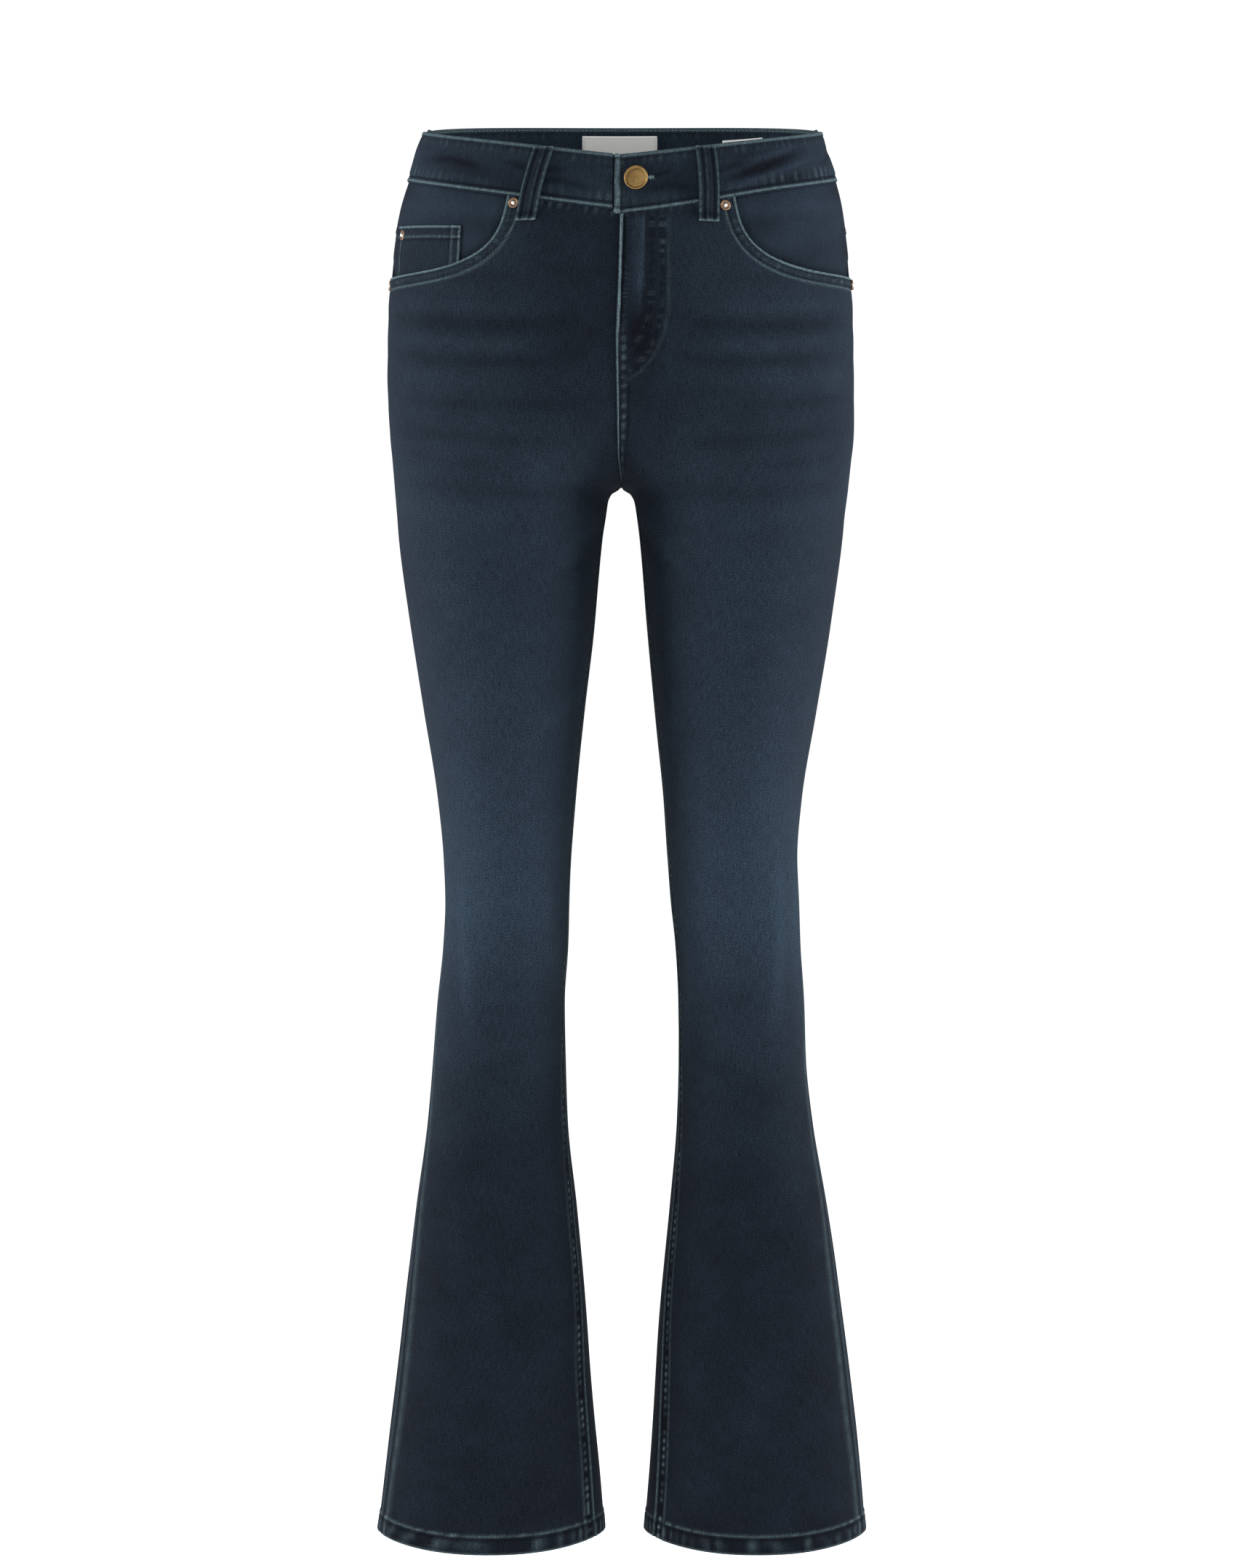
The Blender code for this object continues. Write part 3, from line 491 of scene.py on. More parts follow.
def shell(name, outer, inner, masks=None, closed=False, weave=None, lining=0.0):
    """A closed cloth wall between two grids of points, with a rounded rim, its cloth map and its masks."""
    rows, columns = outer.shape[:2]
    count = rows * columns
    spots = np.arange(count).reshape(rows, columns)
    right = np.roll(spots, -1, axis=1) if closed else spots[:, 1:]
    left = spots if closed else spots[:, :-1]
    face = np.stack([left[:-1], right[:-1], right[1:], left[1:]], axis=-1).reshape(-1, 4)
    faces = [face, face[:, ::-1] + count]
    places = [outer.reshape(-1, 3), inner.reshape(-1, 3)]
    values = {key: [np.broadcast_to(v, (rows, columns)).reshape(-1)] * 2 for key, v in (masks or {}).items()}
    if lining:
        values["fade"][1] = values["fade"][1] + lining
    across, down = lengths_along(outer, 1), lengths_along(outer, 0)
    cloth_map = (np.stack([across, down], axis=-1) * MM if weave is None else weave).reshape(-1, 2)
    maps = [cloth_map, cloth_map]
    total = 2 * count
    for k, ring in enumerate(border(rows, columns, closed)):
        i, j, i_in, j_in = np.array(ring).T
        out = outer[i, j] - outer[i_in, j_in]
        out /= np.linalg.norm(out, axis=-1, keepdims=True)
        thick = np.linalg.norm(outer[i, j] - inner[i, j], axis=-1, keepdims=True)
        places.append((outer[i, j] + inner[i, j]) / 2 + out * thick * 0.35)
        ids = total + np.arange(len(ring))
        flat = spots[i, j]
        after = np.roll(np.arange(len(ring)), -1)
        faces.append(np.stack([flat, ids, ids[after], flat[after]], axis=-1))
        faces.append(np.stack([ids, flat + count, flat[after] + count, ids[after]], axis=-1))
        if closed and k:
            faces[-2], faces[-1] = faces[-2][:, ::-1], faces[-1][:, ::-1]
        for key in values:
            values[key].append(values[key][0][flat])
        maps.append(cloth_map[flat])
        total += len(ring)
    return mesh_object(name, np.concatenate(places), np.concatenate(faces), np.concatenate(maps),
                       {key: np.concatenate(v) for key, v in values.items()})


def mesh_object(name, places, faces, cloth_map=None, masks=None):
    corners = places[faces]
    volume = np.einsum("ij,ij->i", corners[:, 0], np.cross(corners[:, 1], corners[:, 2])).sum()
    volume += np.einsum("ij,ij->i", corners[:, 0], np.cross(corners[:, 2], corners[:, 3])).sum()
    if volume < 0:
        faces = faces[:, ::-1]
    mesh = bpy.data.meshes.new(name)
    mesh.vertices.add(len(places))
    mesh.vertices.foreach_set("co", places.astype(np.float32).ravel())
    mesh.loops.add(faces.size)
    mesh.loops.foreach_set("vertex_index", faces.astype(np.int32).ravel())
    mesh.polygons.add(len(faces))
    mesh.polygons.foreach_set("loop_start", np.arange(0, faces.size, 4, dtype=np.int32))
    mesh.update(calc_edges=True)
    if cloth_map is not None:
        layer = mesh.uv_layers.new(name="cloth")
        layer.data.foreach_set("uv", cloth_map[faces.ravel()].astype(np.float32).ravel())
    for key, value in (masks or {}).items():
        mesh.attributes.new(key, "FLOAT", "POINT").data.foreach_set("value", value.astype(np.float32))
    mesh.shade_smooth()
    mesh.validate()
    return put(name, mesh)


def flat_area(outer):
    """The area of a grid of points, in square metres."""
    a, b = outer[1:, 1:] - outer[:-1, :-1], outer[1:, :-1] - outer[:-1, 1:]
    return 0.5 * np.linalg.norm(np.cross(a, b), axis=-1).sum()


def put(name, data):
    """A new object in the scene."""
    made = bpy.data.objects.new(name, data)
    bpy.context.scene.collection.objects.link(made)
    return made


def declare(made, slot, *nodes):
    """Hangs a piece on the root body and hides the CAD's pieces that it replaces. The slot is not used."""
    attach(made, "root")
    if nodes:
        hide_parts(*nodes)


MASKS = ("fade", "wear", "shade")    # what the wash group reads at every point: fade, wear and painted shade
EDGES = ("across", "right", "down", "low")
PIECES = {}                          # outer face, distances from its edges, and a tree of its faces, by node


def make_cloth(node, base, out, height, masks, paint, thick=CLOTH, slot="denim", edges=None, **how):
    """Raises a piece's outer face over the form by a height in mm, makes its wall, gives it its cloth,
    declares its cut, and keeps the outer face, so that stitches and rivets can be set on it."""
    outer = base + out * (height * MM)[..., None]
    piece = shell(node + "_cloth", outer, outer - out * (thick * MM), dict(zip(MASKS, masks)), **how)
    piece.data.materials.append(paint)
    declare(piece, slot, node)
    area = flat_area(outer)
    rows, columns = outer.shape[:2]
    spots = np.arange(rows * columns).reshape(rows, columns)
    face = np.stack([spots[:-1, :-1], spots[:-1, 1:], spots[1:, 1:], spots[1:, :-1]], axis=-1).reshape(-1, 4)
    tree = BVHTree.FromPolygons(outer.reshape(-1, 3).tolist(), face.tolist())
    PIECES[node] = outer, dict(zip(EDGES, edges or measured(base))), tree


def felled(away, along, seed):
    """A felled seam from its seam line at 0: a raised band, sunk stitch rows and puckers. Height in mm, wear
    and shade."""
    crimp = ripple(along, 6.2, seed)
    height = (0.6 * smooth((FELL_HALF_WIDTH + 0.9 - away) / 1.8) + -0.4 * bump(away - 3.0, 0.9)
              + -0.7 * bump(away, 0.6) + 0.5 * crimp * bump(away - 2.2, 3.6))
    rim = bump(away - FELL_HALF_WIDTH, 0.9) * (0.55 + 0.35 * crimp)
    crest = 0.5 * bump(away - 1.5, 1.3) * unit(0.35 + crimp)
    sunk = bump(away - 3.0, 0.9) * (0.5 - 0.4 * crimp)
    return height, unit(rim + crest), unit(0.75 * bump(away, 0.5) + sunk)


def dots(along, pitch, seed):
    """Small raised puffs between the stitches, 0 to 1."""
    wave = np.cos(2 * np.pi * along / pitch + 0.8 * np.sin(along / 23 + seed))
    return smooth((wave + 0.05) / 0.7) * (0.75 + 0.25 * np.sin(along / 9.1 + 2 * seed))


def inseam_front(away, along, seed):
    """The front's side of the felled inseam: a sunk channel darkened with painted shade, with a row of light
    puffs.
    """
    puff = dots(along, 6.5, seed)
    channel = smooth((5.4 - away) / 0.9) * smooth((away - 0.4) / 0.6)
    height = channel * (0.45 * puff * bump(away - 2.9, 1.4) - 0.35) + 0.35 * bump(away - 6.4, 1.1)
    height += -0.6 * bump(away, 0.6)
    wear = 1.0 * puff * bump(away - 2.9, 1.2) * channel
    wear += 0.32 * bump(away - 6.2, 0.8) * (0.6 + 0.4 * ripple(along, 5.0, seed))
    shade = 0.9 * channel * (1 - 0.95 * puff * bump(away - 2.9, 1.3)) + 0.85 * bump(away, 0.6)
    return height, wear, shade


def inseam_back(away, along, seed):
    """The back's side of it: the folded edge that wears pale."""
    height = 0.5 * bump(away - 1.7, 1.2) - 0.5 * bump(away, 0.5) - 0.3 * bump(away - 3.4, 0.8)
    wear = 0.85 * bump(away - 1.7, 0.9) * (0.8 + 0.2 * ripple(along, 5.0, seed))
    return height, wear, 0.7 * bump(away, 0.6) + 0.5 * bump(away - 3.3, 0.8)


def plain_seam(away):
    """A pressed-open seam: only a sharp valley and a faint ridge of the turnings under the cloth."""
    return -0.6 * bump(away, 0.6) + 0.25 * bump(away - 5.5, 3.0)


def dense_ends(count, width, fine=1.3, reach=11.0, last_reach=None):
    """Shares from 0 to 1 across a panel of a width in mm, close together near both edges."""
    near = np.arange(0, reach, fine) / width
    last = np.arange(0, last_reach or reach, fine) / width
    inner = np.linspace(near[-1] + fine / width, 1 - last[-1] - fine / width, max(count, 4))
    return np.concatenate([near, inner, 1 - last[::-1]])


def soften(values, reach):
    """A row of values with its corners rounded over a reach of neighbours, its ends kept."""
    before = 2 * values[0] - values[reach:0:-1]
    after = 2 * values[-1] - values[-2:-reach - 2:-1]
    return np.convolve(np.concatenate([before, values, after]), np.ones(2 * reach + 1) / (2 * reach + 1),
                       mode="valid")


def mouth_curve(count):
    """The pocket mouth's rounded edge, as shares across the front and heights."""
    mouth_u, mouth_z = np.array(MOUTH).T
    steps = np.concatenate([[0], np.cumsum(np.hypot(np.diff(mouth_u) * FRONT_WIDTH, np.diff(mouth_z)))])
    walk = np.linspace(0, steps[-1], count)
    return (soften(np.interp(walk, steps, values), count // 14) for values in (mouth_u, mouth_z))


# ---------------------------------------------------------------- main panels
def leg_heights():
    return np.arange(CROTCH_Z - 1.5, HEM_SIDE_Z + 22, -ROW_STEP)


def hem_rows(angle_of, u):
    """The last rows down to the folded edge, close together, at heights over the hem's own curve."""
    rises = np.concatenate([np.arange(20.0, 0.5, -1.3), [0.5, 0.0]])
    z = np.stack([hem_z(angle_of(u, HEM_SIDE_Z)) + rise for rise in rises])
    return np.broadcast_to(u, z.shape), z


def hem_relief(above, along):
    """The hem's roll: a sunk stitch row and slanting ropes between it and the folded edge."""
    within = smooth((HEM_DEPTH + 1.5 - above) / 2.0)
    ropes = ripple(along + 0.2 * above, 6.4, 0.8)
    height = (within * (0.9 + 0.45 * ropes * bump(above - 6.0, 5.5))
              - 0.7 * bump(above - HEM_DEPTH + 1.4, 1.0))
    height += 0.3 * bump(above - HEM_DEPTH - 1.0, 1.2)
    wear = within * unit(0.02 + 0.34 * ropes) * bump(above - 6.5, 5.0)
    wear = wear + 0.85 * bump(above - HEM_DEPTH - 0.6, 1.1) * (0.5 + 0.5 * ripple(along, 9.0, 2.2))
    wear = wear + 0.45 * bump(above, 0.8)
    shade = within * unit(0.3 - 0.45 * ropes) + 0.9 * bump(above - HEM_DEPTH + 1.6, 1.2)
    return height, unit(wear), np.clip(shade, 0, 0.9)


LAP_SHARES = (0.25, 0.5, 0.75, 1.0)
LAP = len(LAP_SHARES)


def past_the_centre(side, angle, z, leg_from):
    """More columns on the fronts: over or under the other front above the crotch, a turning below it."""
    other, lap = ("right", FLY_REACH) if side == "left" else ("left", UNDER_REACH)
    lift = 1.25 if side == "left" else -CLOTH - 0.15
    high = z[:leg_from, -1]
    reach = table(lap, high)
    places, outs = [], []
    for share in LAP_SHARES:
        over = angle_at(other, reach * share, high, True)
        raised = lift * mix(0.5, 1.0, smooth(reach / 2.5)) * smooth(share / 0.3)
        if side == "left":
            raised = raised * smooth((-77 - high) / 7)
        out_high = normal(other, over, high)
        base_high = surface(other, over, high) + out_high * (raised * MM)[:, None]
        low = angle[leg_from:, -1] + 0.011 * share
        places.append(np.concatenate([base_high, surface(side, low, z[leg_from:, -1])]))
        outs.append(np.concatenate([out_high, normal(side, low, z[leg_from:, -1])]))
    return np.stack(places, axis=1), np.stack(outs, axis=1)


def front_panel(side, paint):
    """The front from the waist seam and the pocket mouth down to the folded hem."""
    share = dense_ends(36, FRONT_WIDTH, 1.4, 11.0, 40.0 if side == "left" else 14.0)
    if side == "left":
        share = np.sort(np.concatenate([share, 1 - np.array(CORD_COLUMNS) / FRONT_WIDTH]))
    mouth_u, mouth_z = mouth_curve(MOUTH_COUNT)
    walk = np.arange(MOUTH_COUNT)
    centre_z = np.linspace(edge(FRONT_SEAM, 1.0, "seam"), MOUTH_CENTRE_Z, len(walk))
    mouth_rows_u = mix(mouth_u[:, None], 1.0, share)
    mouth_rows_z = mix(mouth_z[:, None], centre_z[:, None], share)
    waist = edge(FRONT_SEAM, mouth_rows_u[0], "seam")
    mouth_rows_z += (waist - mouth_rows_z[0]) * smooth(1 - np.arange(len(walk)) / 30)[:, None]
    side_z = mouth_z[-1] - np.concatenate([np.arange(1.0, 13.0, 1.0), np.arange(14.0, 24.0, 2.0)])
    side_z = np.concatenate([side_z, np.arange(side_z[-1] - ROW_STEP, CROTCH_Z - 0.1, -ROW_STEP)])
    hip_z = mix(side_z[:, None], side_z[:, None] - 22.5 * smooth((side_z[:, None] + 245) / 130), share)
    leg_z = np.broadcast_to(leg_heights()[:, None], (len(leg_heights()), len(share)))
    low_u, low_z = hem_rows(front_angle, share)
    u = np.concatenate([mouth_rows_u, np.broadcast_to(share, hip_z.shape),
                        np.broadcast_to(share, leg_z.shape), low_u])
    z = np.concatenate([mouth_rows_z, hip_z, leg_z, low_z])
    angle = front_angle(u, z)
    base, out = form(side, angle, z)
    leg_from = len(walk) + len(side_z)
    more, more_out = past_the_centre(side, angle, z, leg_from)
    weave = weave_map(side, angle, z, True)
    step = np.linalg.norm(np.diff(np.concatenate([base[:, -1:], more], axis=1), axis=1), axis=-1)
    step = np.cumsum(step, axis=1)[..., None] * np.array([1.0, 0.0])
    weave = np.concatenate([weave, weave[:, -1:] + step], axis=1)
    base, out = np.concatenate([base, more], axis=1), np.concatenate([out, more_out], axis=1)
    u, z, angle = (np.concatenate([v, np.repeat(v[:, -1:], LAP, axis=1)], axis=1) for v in (u, z, angle))

    across, from_right, down, _ = measured(base)
    own_edge = across[:, -LAP - 1:-LAP] - across
    mouth, walk_along = np.full(z.shape, 99.0), np.zeros(z.shape)
    near = slice(0, len(walk) + 26)
    mouth[near], walk_along[near] = line_distance(base[near], base[:len(walk), 0])
    waist_away = np.full(z.shape, 99.0)
    waist_away[near] = line_distance(base[near], base[0])[0]
    side_seam = np.where(np.arange(len(z))[:, None] < len(walk), 99.0, across)
    fly = smooth((z + 215) / 12) * smooth((-76 - z) / 8)
    along = np.broadcast_to(down[:, -1:], down.shape)
    seed = 0.4 if side == "left" else 2.3
    lines = creases(base)

    height = free_sway(base, across, from_right) + lines + plain_seam(side_seam)
    # the mouth's doubled edge with its two sunk stitch rows
    mouth_crimp = ripple(walk_along, 5.6, 1.7 + seed)
    height += (0.8 * smooth((8.8 - mouth) / 1.4) - 0.45 * bump(mouth - 2.2, 0.8)
               - 0.6 * bump(mouth - 7.6, 1.0))
    height += 0.28 * mouth_crimp * bump(mouth - 4.8, 3.4)
    # the inseam
    leg = (np.arange(len(z)) >= leg_from)[:, None] * smooth((CROTCH_Z - z) / 8)
    spread = mix(1.0, 1.55, smooth((-z - 480) / 400))
    low_height, low_wear, low_shade = inseam_front(np.abs(own_edge) / spread, along, seed)
    height += low_height * leg
    # the fly's edge and the centre seam on the wearer's left, over the right front's edge
    x = base[..., 0] / MM
    high = (1 - leg) * smooth((z + 276) / 6)
    bare = high * smooth((-77 - z) / 7)
    cord = mix(2.9, 1.8, smooth((-120 - z) / 80))
    ticks = ripple(z, 2.9, 0.7) * (0.6 + 0.4 * np.sin(z / 13))
    puffs = dots(z, 7.2, 1.4) * smooth((-155 - z) / 25)
    rows = np.full(z.shape, 99.0), np.zeros(z.shape)
    if side == "left":
        height += bare * (0.35 * bump(from_right - cord / 2, cord / 2)
                          - 0.55 * bump(from_right - cord - 1.0, 0.9))
        height += bare * (0.22 * ticks * bump(from_right - 6.2, 2.0)
                          + 0.5 * puffs * bump(from_right - 6.0, 2.2))
        height += high * -0.45 * bump(from_right - 9.4, 0.9) * smooth((-195 - z) / 15)
        height += fly * 0.55 * smooth((19.2 - from_right) / 1.2) * smooth((z + 165) / 30)
        height += fly * 0.35 * smooth((36.0 - from_right) / 2.0)
        for path, seed_row in zip(FLY_ROWS, (0.3, 1.1)):
            away, along_row = path_distance(x, z, path)
            length = sum(math.dist(a, b) for a, b in zip(path, path[1:]))
            puff = dots(along_row * length + 2.2 * np.sin(along_row * 31), 9.4, seed_row)
            puff = puff * np.clip(0.62 + 0.5 * np.sin(along_row * length / 13.7 + 2 * seed_row), 0.15, 1)
            puff = puff * (1.0 if seed_row < 1 else 0.8)
            height += bare * (0.5 * puff - 0.35) * bump(away, 2.0)
            rows = np.minimum(rows[0], away), np.maximum(rows[1], puff * bump(away, 1.7))
    else:
        height -= high * 0.5 * smooth((12 - from_right) / 6)
    # the waist seam pulls the cloth in, and the hem rolls
    waist_crimp = ripple(across, 7.0, 0.2 + seed)
    height += -0.6 * bump(waist_away, 2.0) + 0.45 * waist_crimp * bump(waist_away - 3.5, 4.5)
    above = z - hem_z(angle)
    hem_height, hem_wear, hem_shade = hem_relief(above, across + 37)
    height += hem_height

    wear = 1.0 * bump(mouth - 0.8, 0.9) * (0.8 + 0.2 * mouth_crimp) + 0.45 * bump(mouth - 9.2, 0.9)
    wear += 0.35 * unit(mouth_crimp) * bump(mouth - 4.8, 2.0)
    below_knee = smooth((-z - 600) / 120)
    # a pale line beside the side seam: partly real wear of its ridge, partly a painted highlight for the
    # light along the leg's outer side
    side_seam_wear_and_highlight = (0.25 * bump(side_seam - 7.5, 2.8) * (0.55 + 0.45 * below_knee)
               * (0.75 + 0.25 * ripple(down, 17, 0.5)))
    wear += side_seam_wear_and_highlight + low_wear * leg
    wear += 0.3 * unit(waist_crimp) * bump(waist_away - 4, 3)
    shade = 0.85 * bump(mouth - 7.6, 1.0) * (0.85 - 0.15 * mouth_crimp) + 0.6 * bump(mouth - 2.3, 0.7)
    shade += 0.85 * bump(side_seam, 0.8) + 0.3 * below_knee * smooth((4.5 - side_seam) / 2) + low_shade * leg
    shade += 0.8 * bump(waist_away - 0.6, 1.8) + 0.4 * unit(-waist_crimp) * bump(waist_away - 4, 4)
    fade = wash(True, u, z, lines)
    if side == "left":
        strip = smooth((from_right - 5) / 13) * smooth((20.0 - from_right) / 1.0) * smooth((z + 165) / 45)
        strip = strip * (0.8 + 0.2 * np.sin(z / 11 + 1.3) * np.sin(from_right / 3 + z / 29)
                         + 0.25 * bump(from_right - 18, 1.6))
        fade += fly * (0.55 * strip * smooth((-66 - z) / 14) + 0.08 * smooth((from_right - 36) / 3) * fly)
        # painted shade inside the curve of the fly's stitch rows
        fade -= 0.22 * bump(x - 15, 9) * bump(z + 168, 26)
        wear += high * 1.0 * smooth((cord - from_right) / 0.6) * smooth(from_right / 0.3)
        wear += high * (0.22 * unit(ticks) * bump(from_right - 6.2, 2.0)
                        + 0.4 * puffs * bump(from_right - 6.0, 1.8))
        wear += bare * (0.3 * rows[1] + 0.1 * bump(path_distance(x, z, FLY_EDGE)[0], 1.0))
        shade += high * 0.9 * bump(from_right - cord - 1.1, 1.0)
        shade += high * 0.7 * bump(from_right - 9.6, 1.2) * smooth((-195 - z) / 15)
        shade += 0.42 * bare * bump(rows[0], 2.6) * (1 - rows[1])
    else:
        shade += high * 0.9 * bump(from_right - 3, 5.0)
    wear, shade = unit(wear + hem_wear), unit(shade + hem_shade)
    if side == "left":
        fade += (0.22 * bump(u - 0.10, 0.12) * bump(z + 612, 70)
                 - 0.11 * bump(u - 0.82, 0.15) * bump(z + 480, 190))
    else:
        fade += 0.12 * bump(u - 1.0, 0.12) * smooth((-330 - z) / 80)
        fade += (0.10 * bump(u - 0.1, 0.1) * bump(z + 600, 60)
                 + 0.12 * bump(u - 0.08, 0.14) * bump(z + 715, 70))
    make_cloth("front_" + side, base, out, height, (fade, wear, shade), paint, weave=weave,
               edges=measured(base[:, :-LAP]))
    return leg_from


def back_panel(side, paint):
    share = dense_ends(46, 220.0)
    yoke_z = edge(YOKE_SEAM, share, "yoke")
    first = np.arange(-100.0, CROTCH_Z - 0.1, -ROW_STEP)
    hip_z = np.stack([np.minimum(z, yoke_z - (i + 1) * 1.3) for i, z in enumerate(first)])
    leg_z = np.broadcast_to(leg_heights()[:, None], (len(leg_heights()), len(share)))
    low_z = hem_rows(back_angle, share)[1]
    upper = np.concatenate([yoke_z[None], mix(yoke_z, hip_z[8], np.linspace(0.12, 1, 10)[:, None]),
                            hip_z[9:]])
    z = np.concatenate([upper, leg_z, low_z])
    u = np.broadcast_to(share, z.shape)
    angle = back_angle(u, z)
    base, out = form(side, angle, z)
    across, from_right, down, _ = measured(base)
    along_right = np.broadcast_to(down[:, -1:], down.shape)
    seed = 0.4 if side == "left" else 2.3
    height = free_sway(base, across, from_right) + creases(base)
    leg = smooth((CROTCH_Z - z) / 10)
    spread = mix(1.0, 1.4, smooth((-z - 480) / 400))
    low_height, low_wear, low_shade = inseam_back(from_right / spread, along_right, seed)
    yoke_height, yoke_wear, yoke_shade = felled(down, across, 1.1)
    seat_height, seat_wear, seat_shade = felled(from_right, along_right, seed)
    height += plain_seam(across) + yoke_height
    height += mix(seat_height, low_height, leg)
    above = z - hem_z(angle)
    hem_height, hem_wear, hem_shade = hem_relief(above, across + 11)
    height += hem_height
    wear = mix(seat_wear * 0.8, low_wear, leg) + yoke_wear * 0.8
    wear = unit(wear + hem_wear + 0.15 * bump(across - 3.4, 2.6))
    shade = 0.7 * bump(across, 0.7) + mix(seat_shade, low_shade, leg)
    shade = unit(shade + yoke_shade + hem_shade)
    fade = wash(False, u, z, creases(base)) + (0.16 if side == "right" else 0.05) * bump(u - 1.0, 0.12) * leg
    make_cloth("back_" + side, base, out, height, (fade, wear, shade), paint,
                       weave=weave_map(side, angle, z, False))


def yoke(side, paint):
    share = dense_ends(70, 205.0)
    fall = dense_ends(10, 52.0)[:, None]
    z = mix(edge(BACK_SEAM, share, "seam"), edge(YOKE_SEAM, share, "yoke"), fall)
    u = np.broadcast_to(share, z.shape)
    angle = back_angle(u, z)
    base, out = form(side, angle, z)
    across, from_right, down, from_low = measured(base)
    seat_height, seat_wear, seat_shade = felled(from_right, down, 1.9)
    low_height, low_wear, low_shade = felled(from_low, across, 1.1)
    height = free_sway(base, across, from_right) + plain_seam(across)
    height += seat_height + low_height - 0.5 * bump(down, 2.0)
    wear = unit(0.8 * seat_wear + 0.8 * low_wear)
    shade = unit(0.7 * bump(across, 0.7) + seat_shade + low_shade)
    fade = table(BACK_WASH, z) + 0.1 * sway(base)
    make_cloth("yoke_" + side, base, out, height, (fade, wear, shade), paint,
                       weave=weave_map(side, angle, z, False)[..., ::-1])


def hem_lining(side, paint):
    """The turned-up end inside each leg."""
    share = np.linspace(0, 1, 81)
    angles = np.concatenate([front_angle(share, HEM_SIDE_Z), back_angle(share, HEM_SIDE_Z)[-2:0:-1]])
    rises = np.array([13.5, 12.0, 9.0, 6.0, 3.0, 1.4, 0.6])[:, None]
    z = hem_z(angles) + rises
    angle = np.broadcast_to(angles, z.shape)
    base, out = form(side, angle, z)
    along = lengths_along(base, 1)
    height = -CLOTH - 0.25 + hem_relief(rises, along + 37)[0] * 0.6
    make_cloth("hem_" + side, base, out, height, (0.3, 0.1, 0.1), paint, slot="denim_inner", closed=True)


# ---------------------------------------------------------------- pockets
def facing_lift(u, z):
    under_edge = smooth((-95 - z) / 15)
    return -TUCK * np.maximum(np.minimum(1.0, u / 0.25), under_edge)


def pocket_facing(side, paint):
    reach = ((0.0, 0.745), (0.2, 0.74), (0.4, 0.725), (0.6, 0.69), (0.8, 0.60), (1.0, 0.42))
    fall = np.linspace(0, 1, 36)[:, None]
    share = np.linspace(0, 1, 48)
    u = np.interp(fall, *zip(*reach)) * share
    z = mix(edge(FRONT_SEAM, u, "seam"), -126.5, fall)
    angle = front_angle(u, z)
    base, out = form(side, angle, z)
    height = facing_lift(u, z) + 0.5 * sway(base) + 0.35 * np.sin(u * 19 + z / 9)
    across, down = lengths_along(base, 1), lengths_along(base, 0)
    mouth_u, mouth_z = mouth_curve(60)
    mouth_line = surface(side, front_angle(mouth_u, mouth_z), mouth_z)
    under = line_distance(base, mouth_line)[0]
    fade = 0.32 + 0.10 * bump(u - 0.35, 0.22) + 0.07 * np.sin(z / 6 + u * 9) + 0.2 * bump(z + 55 + 30 * u, 7)
    fade = fade * mix(0.55, 1.0, smooth((u - 0.04) / 0.2))
    shade = 0.5 * bump(across, 0.8) + 0.5 * bump(down, 3.0) + 0.75 * bump(under, 5.0)
    make_cloth("pocket_facing_" + side, base, out, height, (fade, 0.0, shade), paint, slot="denim_inner")


def coin_pocket(paint):
    start, end = 0.15, 0.54
    share, fall = dense_ends(26, 76.0, 1.2, 8), np.linspace(0, 1, 34)[:, None]
    u = mix(start, end, np.broadcast_to(share, (34, len(share))))
    mouth_u, mouth_z = zip(*MOUTH[2:][::-1])
    z = mix(np.interp(u, (start, end), (-77.0, -84.0)), np.interp(u, mouth_u, mouth_z) + 0.7, fall)
    angle = front_angle(u, z)
    base, out = form("right", angle, z)
    across, from_right, down, _ = measured(base)
    height = facing_lift(u, z) + 1.45 + 0.3 * sway(base)
    hem_crimp = ripple(across, 4.6, 0.4)
    height += 0.4 * smooth((10.0 - down) / 1.2) - 0.4 * bump(down - 10.4, 0.9) - 0.35 * bump(down - 2.3, 0.7)
    height += (-0.35 * bump(from_right - 2.2, 0.8) - 0.35 * bump(from_right - 9.0, 0.9)
               - 0.4 * bump(across - 8.0, 0.9))
    wear = 0.9 * bump(down - 0.6, 0.9) + 0.85 * bump(from_right - 0.6, 0.9)
    wear += 0.5 * bump(down - 8.6, 0.8) * (0.6 + 0.4 * hem_crimp) + 0.4 * bump(from_right - 7.6, 0.7)
    wear += 0.4 * bump(across - 6.6, 0.7)
    shade = 0.9 * bump(down - 10.3, 0.9) + 0.6 * bump(down - 2.3, 0.7) + 0.6 * bump(from_right - 2.2, 0.7)
    shade += 0.7 * bump(from_right - 9.0, 0.8) + 0.75 * bump(across - 8.0, 0.9)
    masks = (0.27, unit(wear * 1.1), unit(shade * 1.1))
    make_cloth("coin_pocket", base, out, height, masks, paint, thick=1.0)


